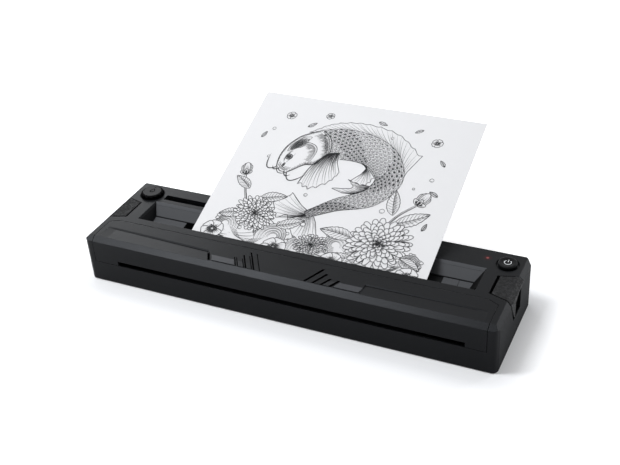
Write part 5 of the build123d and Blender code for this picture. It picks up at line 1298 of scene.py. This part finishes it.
# ---------------------------------------------------------------- operators
class COPIER_OT_finishes(bpy.types.Operator):
    """Give every moulded, metal, rubber and paper node its finish"""
    bl_idname = "copier.finishes"
    bl_label = "Finish the copier's nodes"

    def execute(self, context):
        tones = colours()
        self.finish_shell(tones)
        self.finish_mouldings(tones)
        self.finish_metals()
        self.finish_insides(tones)
        finish_nodes(rubber("Rubber", tones.rubber), "rubber_feet", "platen_rubber")
        finish_nodes(lamp_lens("Lamp lens", tones.lamp), "status_led")
        finish_nodes(paper("Stencil paper", tones.paper), "stencil_sheet")
        return {"FINISHED"}

    def finish_shell(self, tones):
        """The pieces that are seen from outside."""
        # red of the lamp's glow, painted on the deck round the lamp
        painted_lamp_glow = shade(tones.lamp, 0.55)
        casing = casing_shell("Casing plastic", tones.casing, tones.tray, painted_lamp_glow)
        finish_nodes(casing, "main_casing")
        finish_nodes(cover_shell("Cover plastic", tones.casing, tones.insert), "front_cover")
        finish_nodes(feed_well("Feed tray plastic", tones.tray, tones.casing), "feed_tray")
        finish_nodes(dial_knob("Dial plastic", shade(tones.casing, 0.8)), "density_dial")
        finish_nodes(button_cap("Button plastic", shade(tones.casing, 0.4)), "power_button")
        finish_nodes(hide_grain("Grained pads", tones.pad), "right_lock_pad", "left_lock_pad")

    def finish_mouldings(self, tones):
        """Plain black mouldings inside and below."""
        inner = moulded("Inner plastic", shade(tones.casing, 0.8), 0.5)
        base = moulded("Base plastic", shade(tones.casing, 1.1), 0.55)
        chips = moulded("Chip epoxy", (0.012, 0.012, 0.013), 0.5, grain=0.2 * MM, worn=0.1,
                        edge=0.1 * MM)
        finish_nodes(inner, "rear_channel", "right_lock_housing", "left_lock_housing",
                     "inlet_guide", "exit_guide", "battery_holder", "right_lock_hook",
                     "left_lock_hook", "print_chassis")
        finish_nodes(base, "bottom_plate")
        finish_nodes(chips, "board_parts", "tact_switch")

    def finish_metals(self):
        """Turned pins and springs, screws, the heat sink and the motor's can."""
        steel = metal("Turned steel", (0.56, 0.57, 0.58), 0.28, (0.05, 1.0, 1.0))
        screws = metal("Blackened screw steel", (0.10, 0.10, 0.105), 0.35)
        aluminium = metal("Heat sink aluminium", (0.76, 0.77, 0.78), 0.36, (0.03, 1.0, 1.0))
        motor = metal("Motor can steel", (0.62, 0.61, 0.58), 0.34, (0.2, 1.0, 1.0))
        finish_nodes(steel, "hinge_pins", "catch_pins", "head_pivot_pins", "platen_shaft",
                     "idler_axle", "motor_shaft", "head_springs", "cover_frame", "usb_socket",
                     "dial_encoder")
        finish_nodes(screws, "base_screws", "chassis_screws", "board_screws")
        finish_nodes(aluminium, "head_heatsink")
        finish_nodes(motor, "stepper_motor")

    def finish_insides(self, tones):
        """Gears, bushes, print bar, boards and cells."""
        gears = nylon("Gear nylon", (0.72, 0.71, 0.66))
        finish_nodes(gears, "platen_gear", "idler_gear", "motor_pinion", "head_connector")
        finish_nodes(nylon("Bush nylon", (0.055, 0.055, 0.058)), "platen_bushes")
        finish_nodes(ceramic("Print bar glaze"), "thermal_head")
        finish_nodes(solder_mask("Solder mask", tones.board), "control_board", "switch_board")
        finish_nodes(cell_wrap("Cell sleeve"), "battery_cells")


class COPIER_OT_drawing(bpy.types.Operator):
    """Print the carp and flowers on the stencil sheet"""
    bl_idname = "copier.drawing"
    bl_label = "Print the line drawing"

    def execute(self, context):
        edges, faces = compose_drawing().ribbons()
        spots = sheet_places(edges, sizes().ink_lift)
        new_piece("printed_lines", spots, faces.tolist(), "stencil_sheet",
                  ink("Thermal ink", colours().ink))
        return {"FINISHED"}


class COPIER_OT_marks(bpy.types.Operator):
    """Print the power symbol on the button's dished top and an ink drop on the dial"""
    bl_idname = "copier.marks"
    bl_label = "Print the marks"

    def execute(self, context):
        self.power_symbol()
        self.dial_drop()
        return {"FINISHED"}

    def power_symbol(self):
        """Broken ring and upright bar, in millimetres from the button's middle."""
        arc = 2.7 * ring_points(np.radians(np.linspace(90 + 38, 90 + 322, 60)))
        bar = coords(0.0, np.linspace(0.5, 3.7, 8))
        white = paper("White symbol", (0.62, 0.63, 0.64))
        self.print_mark("power_symbol", "power_button", "button_plastic", white, -DISH_DEPTH,
                        [(arc, 0.33), (bar, 0.30)])

    def dial_drop(self):
        """Drop outline: a circle whose rear point is drawn out, with a short bar inside."""
        turn = np.radians(np.linspace(-270, 90, 61))
        reach = 1.9 + 1.5 * np.clip(np.sin(turn), 0.0, 1.0) ** 6
        drop = reach[:, None] * ring_points(turn)
        bar = coords(np.linspace(-0.9, 0.9, 8), -0.3)
        self.print_mark("dial_drop", "density_dial", "knob_plastic", dead_print("Dial mark"), 0.0,
                        [(drop, 0.38), (bar, 0.38)])

    def print_mark(self, name, body, slot, material, depth, lines):
        """Flat bands along lines in millimetres, each with its half width, on top of a round node."""
        x, y, _ = round_plan(body)
        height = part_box(body)[1].z + depth + MARK_LIFT
        bands = [flat_strip(np.array([x, y]) + line * MM, half * MM, height) for line, half in lines]
        vertices, faces = join_parts(bands)
        new_piece(name, vertices, faces, body, material)


class COPIER_OT_well_cheek(bpy.types.Operator):
    """Fit the sloping black cheek that closes the right end of the feed well"""
    bl_idname = "copier.well_cheek"
    bl_label = "Fit the well's cheek"

    def execute(self, context):
        """Three-cornered sections from the deck's edge to the well's floor, one at each bend."""
        y, depth = np.array(CHEEK_STATIONS).T
        foot = TOP_LEVEL - depth
        x = np.column_stack([0 * y, CHEEK_SLOPE * depth, 0 * y])
        z = np.column_stack([TOP_LEVEL + 0 * y, foot, foot])
        sections = coords(CHEEK_EDGE - x, y[:, None], z)
        last = 3 * len(y) - 3
        sides = grid_faces(len(y), 3)[:, ::-1].tolist()
        ends = [(0, 2, 1), (last, last + 1, last + 2)]
        black = moulded("Cheek plastic", (0.0022, 0.0022, 0.0024), 0.6, specular=0.03)
        new_piece("well_cheek", sections.reshape(-1, 3), sides + ends, "housing",
                  black, smooth=False)
        return {"FINISHED"}


class COPIER_OT_screws(bpy.types.Operator):
    """Put cross-recess screws in place of the plain ones"""
    bl_idname = "copier.screws"
    bl_label = "Fit the screws"

    def execute(self, context):
        steel = metal("Screw steel", (0.09, 0.09, 0.095), 0.34)
        self.fit("base_screws", "housing", -1.0, steel)
        self.fit("chassis_screws", "housing", 1.0, steel)
        self.fit("board_screws", "housing", 1.0, steel)
        return {"FINISHED"}

    def fit(self, node, body, up, material):
        """One screw for each solid of the node, its head at the end that up points to."""
        parts = []
        for low, high in node_islands(node):
            head = (high[0] - low[0]) / 2
            pitch = 0.5 * head / 2.6 + 0.2 * MM
            vertices, faces = recessed_screw(head, head * 0.5, head * 0.5, high[2] - low[2], pitch)
            spot = (low + high) / 2
            spot[2] = high[2] if up > 0 else low[2]
            parts.append((vertices * np.array([1.0, up, up]) + spot, faces))
        vertices, faces = join_parts(parts)
        piece = new_piece(node + "_detailed", vertices, faces, body, material)
        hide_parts(node)


class COPIER_OT_springs(bpy.types.Operator):
    """Wind the two springs that press the print head down"""
    bl_idname = "copier.springs"
    bl_label = "Wind the head springs"

    def execute(self, context):
        parts = []
        islands = node_islands("head_springs")
        for low, high in islands:
            radius = (high[0] - low[0]) / 2 - SPRING_WIRE / 2
            vertices, faces = coil_spring(radius, low[2], high[2])
            spot = (low + high) / 2
            spot[2] = 0.0
            parts.append((vertices + spot, faces))
        vertices, faces = join_parts(parts)
        spring = new_piece("wound_springs", vertices, faces, "front_cover",
                           metal("Spring steel", (0.50, 0.51, 0.52), 0.25))
        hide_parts("head_springs")
        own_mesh(spring)
        return {"FINISHED"}


class COPIER_OT_studio(bpy.types.Operator):
    """Lay the pale floor, hang the soft lights and place the camera"""
    bl_idname = "copier.studio"
    bl_label = "Set up the studio"

    def execute(self, context):
        self.place_camera()
        self.lay_floor()
        self.light_world()
        self.hang_lights()
        context.scene.view_settings.view_transform = "Standard"
        return {"FINISHED"}

    def place_camera(self):
        """Camera on its axis at the set distance, turned about it by the roll."""
        place = studio()
        level = Vector((math.sin(place.azimuth), -math.cos(place.azimuth), 0.0))
        back = level * math.cos(place.elevation) + Vector((0.0, 0.0, math.sin(place.elevation)))
        side = Vector((0.0, 0.0, 1.0)).cross(back).normalized()
        up = back.cross(side)
        right = side * math.cos(place.roll) + up * math.sin(place.roll)
        up = back.cross(right)
        data = bpy.data.cameras.new("Copier camera")
        data.lens = place.lens
        data.sensor_width = SENSOR_WIDTH
        data.shift_x, data.shift_y = place.shift
        data.clip_start = 0.01
        spot = Vector(place.look_at) + back * place.distance
        turn = Matrix((right, up, back)).transposed()
        bpy.context.scene.camera = self.stand(data, spot, turn)

    def stand(self, data, spot, turn):
        """An object that holds this camera or light, at a spot and turned by a matrix."""
        thing = bpy.data.objects.new(data.name, data)
        thing.matrix_world = Matrix.Translation(spot) @ turn.to_4x4()
        bpy.context.scene.collection.objects.link(thing)
        return thing

    def lay_floor(self):
        """Wide flat floor, which isn't part of the object."""
        sides = ((-1, -1), (1, -1), (1, 1), (-1, 1))
        corners = [(x * FLOOR_REACH, y * FLOOR_REACH, 0.0) for x, y in sides]
        mesh = bpy.data.meshes.new("Studio floor")
        mesh.from_pydata(corners, [], [(0, 1, 2, 3)])
        mesh.materials.append(self.floor_finish())
        floor = bpy.data.objects.new("Studio floor", mesh)
        bpy.context.scene.collection.objects.link(floor)

    def floor_finish(self):
        """Matt floor; seen rays get a paler tone and a white glow that grows away from the object, so the
        floor near the object is left darker: a painted shadow.
        """
        finish = Finish("Studio floor")
        seen = finish.rays("Is Camera Ray").maximum(finish.rays("Is Glossy Ray"))
        seen = seen.maximum(finish.rays("Is Transmission Ray"))
        x, y, _ = finish.parts(finish.place)
        beside, before = ((abs(part) - half).maximum(0.0) for part, half in zip((x, y), FOOTPRINT))
        away = (beside ** 2.0 + before ** 2.0) ** 0.5
        # painted shadow: less glow near the object
        shadow_fade = ((away - FADE_START) / (FADE_END - FADE_START)).clamped()
        tone = finish.mix(seen, colours().floor, colours().seen_floor)
        lit = finish.node("ShaderNodeBsdfDiffuse", {}, {"Color": tone})
        strength = seen * (shadow_fade * studio().floor_fade + studio().floor_glow)
        glow = finish.node("ShaderNodeEmission", {}, {"Color": WHITE, "Strength": strength})
        both = finish.node("ShaderNodeAddShader", {}, {0: lit, 1: glow})
        finish.ended(both, "ShaderNodeOutputMaterial")
        return finish.material

    def light_world(self):
        """White to the camera and to glossy rays, softer as light."""
        world = bpy.data.worlds.new("Studio world")
        world.use_nodes = True
        sky = Shading(world.node_tree)
        seen = sky.rays("Is Camera Ray").maximum(sky.rays("Is Glossy Ray"))
        softer = {"Color": rgba(DAYLIGHT), "Strength": studio().ambient}
        even = sky.node("ShaderNodeBackground", {}, softer)
        white = sky.node("ShaderNodeBackground", {}, {"Color": WHITE})
        blend = sky.node("ShaderNodeMixShader", {}, {0: seen, 1: even, 2: white})
        sky.ended(blend, "ShaderNodeOutputWorld")
        bpy.context.scene.world = world

    def hang_lights(self):
        """A softbox overhead, a small one that the front bevel mirrors, and two low behind, on the
        left and on the right."""
        power = studio()
        self.area_light("Overhead softbox", 2.0, (-0.42, 0.16, 0.893), 1.4, 1.4, power.key_power)
        self.area_light("Bevel softbox", 2.0, (-0.42, -0.215, 0.882), 0.35, 1.1, power.bevel_power)
        self.area_light("Side softbox", 3.0, (-0.641, 0.687, 0.342), 0.9, 0.9, power.side_power)
        self.area_light("Rim softbox", 3.0, (0.552, 0.741, 0.381), 0.9, 0.9, power.rim_power)

    def area_light(self, name, distance, direction, width, height, power):
        """Rectangular softbox in a direction from LIGHT_AIM, turned back to it."""
        spot = Vector(LIGHT_AIM) + distance * Vector(direction)
        data = bpy.data.lights.new(name, "AREA")
        data.shape = "RECTANGLE"
        data.size = width
        data.size_y = height
        data.energy = power
        data.color = DAYLIGHT
        turn = (Vector(LIGHT_AIM) - spot).to_track_quat("-Z", "Y").to_matrix()
        self.stand(data, spot, turn).visible_camera = False


class COPIER_PT_panel(bpy.types.Panel):
    """Buttons for the copier's dressing"""
    bl_label = "Stencil copier"
    bl_idname = "COPIER_PT_panel"
    bl_space_type = "VIEW_3D"
    bl_region_type = "UI"
    bl_category = "Copier"

    def draw(self, context):
        for step in STEPS:
            self.layout.operator(step.bl_idname)
        for group in (sizes(), colours(), studio()):
            box = self.layout.box()
            for key in group.bl_rna.properties.keys():
                if key not in {"rna_type", "name"}:
                    box.prop(group, key)


GROUPS = [CopierSizes, CopierColours, CopierStudio]
STEPS = [COPIER_OT_finishes, COPIER_OT_drawing, COPIER_OT_marks, COPIER_OT_well_cheek, COPIER_OT_screws,
         COPIER_OT_springs, COPIER_OT_studio]
CLASSES = GROUPS + STEPS + [COPIER_PT_panel]


def register():
    for kind in CLASSES:
        bpy.utils.register_class(kind)
    bpy.types.Scene.copier_sizes = bpy.props.PointerProperty(type=CopierSizes)
    bpy.types.Scene.copier_colours = bpy.props.PointerProperty(type=CopierColours)
    bpy.types.Scene.copier_studio = bpy.props.PointerProperty(type=CopierStudio)


def unregister():
    del bpy.types.Scene.copier_sizes
    del bpy.types.Scene.copier_colours
    del bpy.types.Scene.copier_studio
    for kind in reversed(CLASSES):
        bpy.utils.unregister_class(kind)


def main():
    """Register the add-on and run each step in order."""
    register()
    for step in STEPS:
        group, name = step.bl_idname.split(".")
        getattr(getattr(bpy.ops, group), name)()


if __name__ == "__main__":
    main()
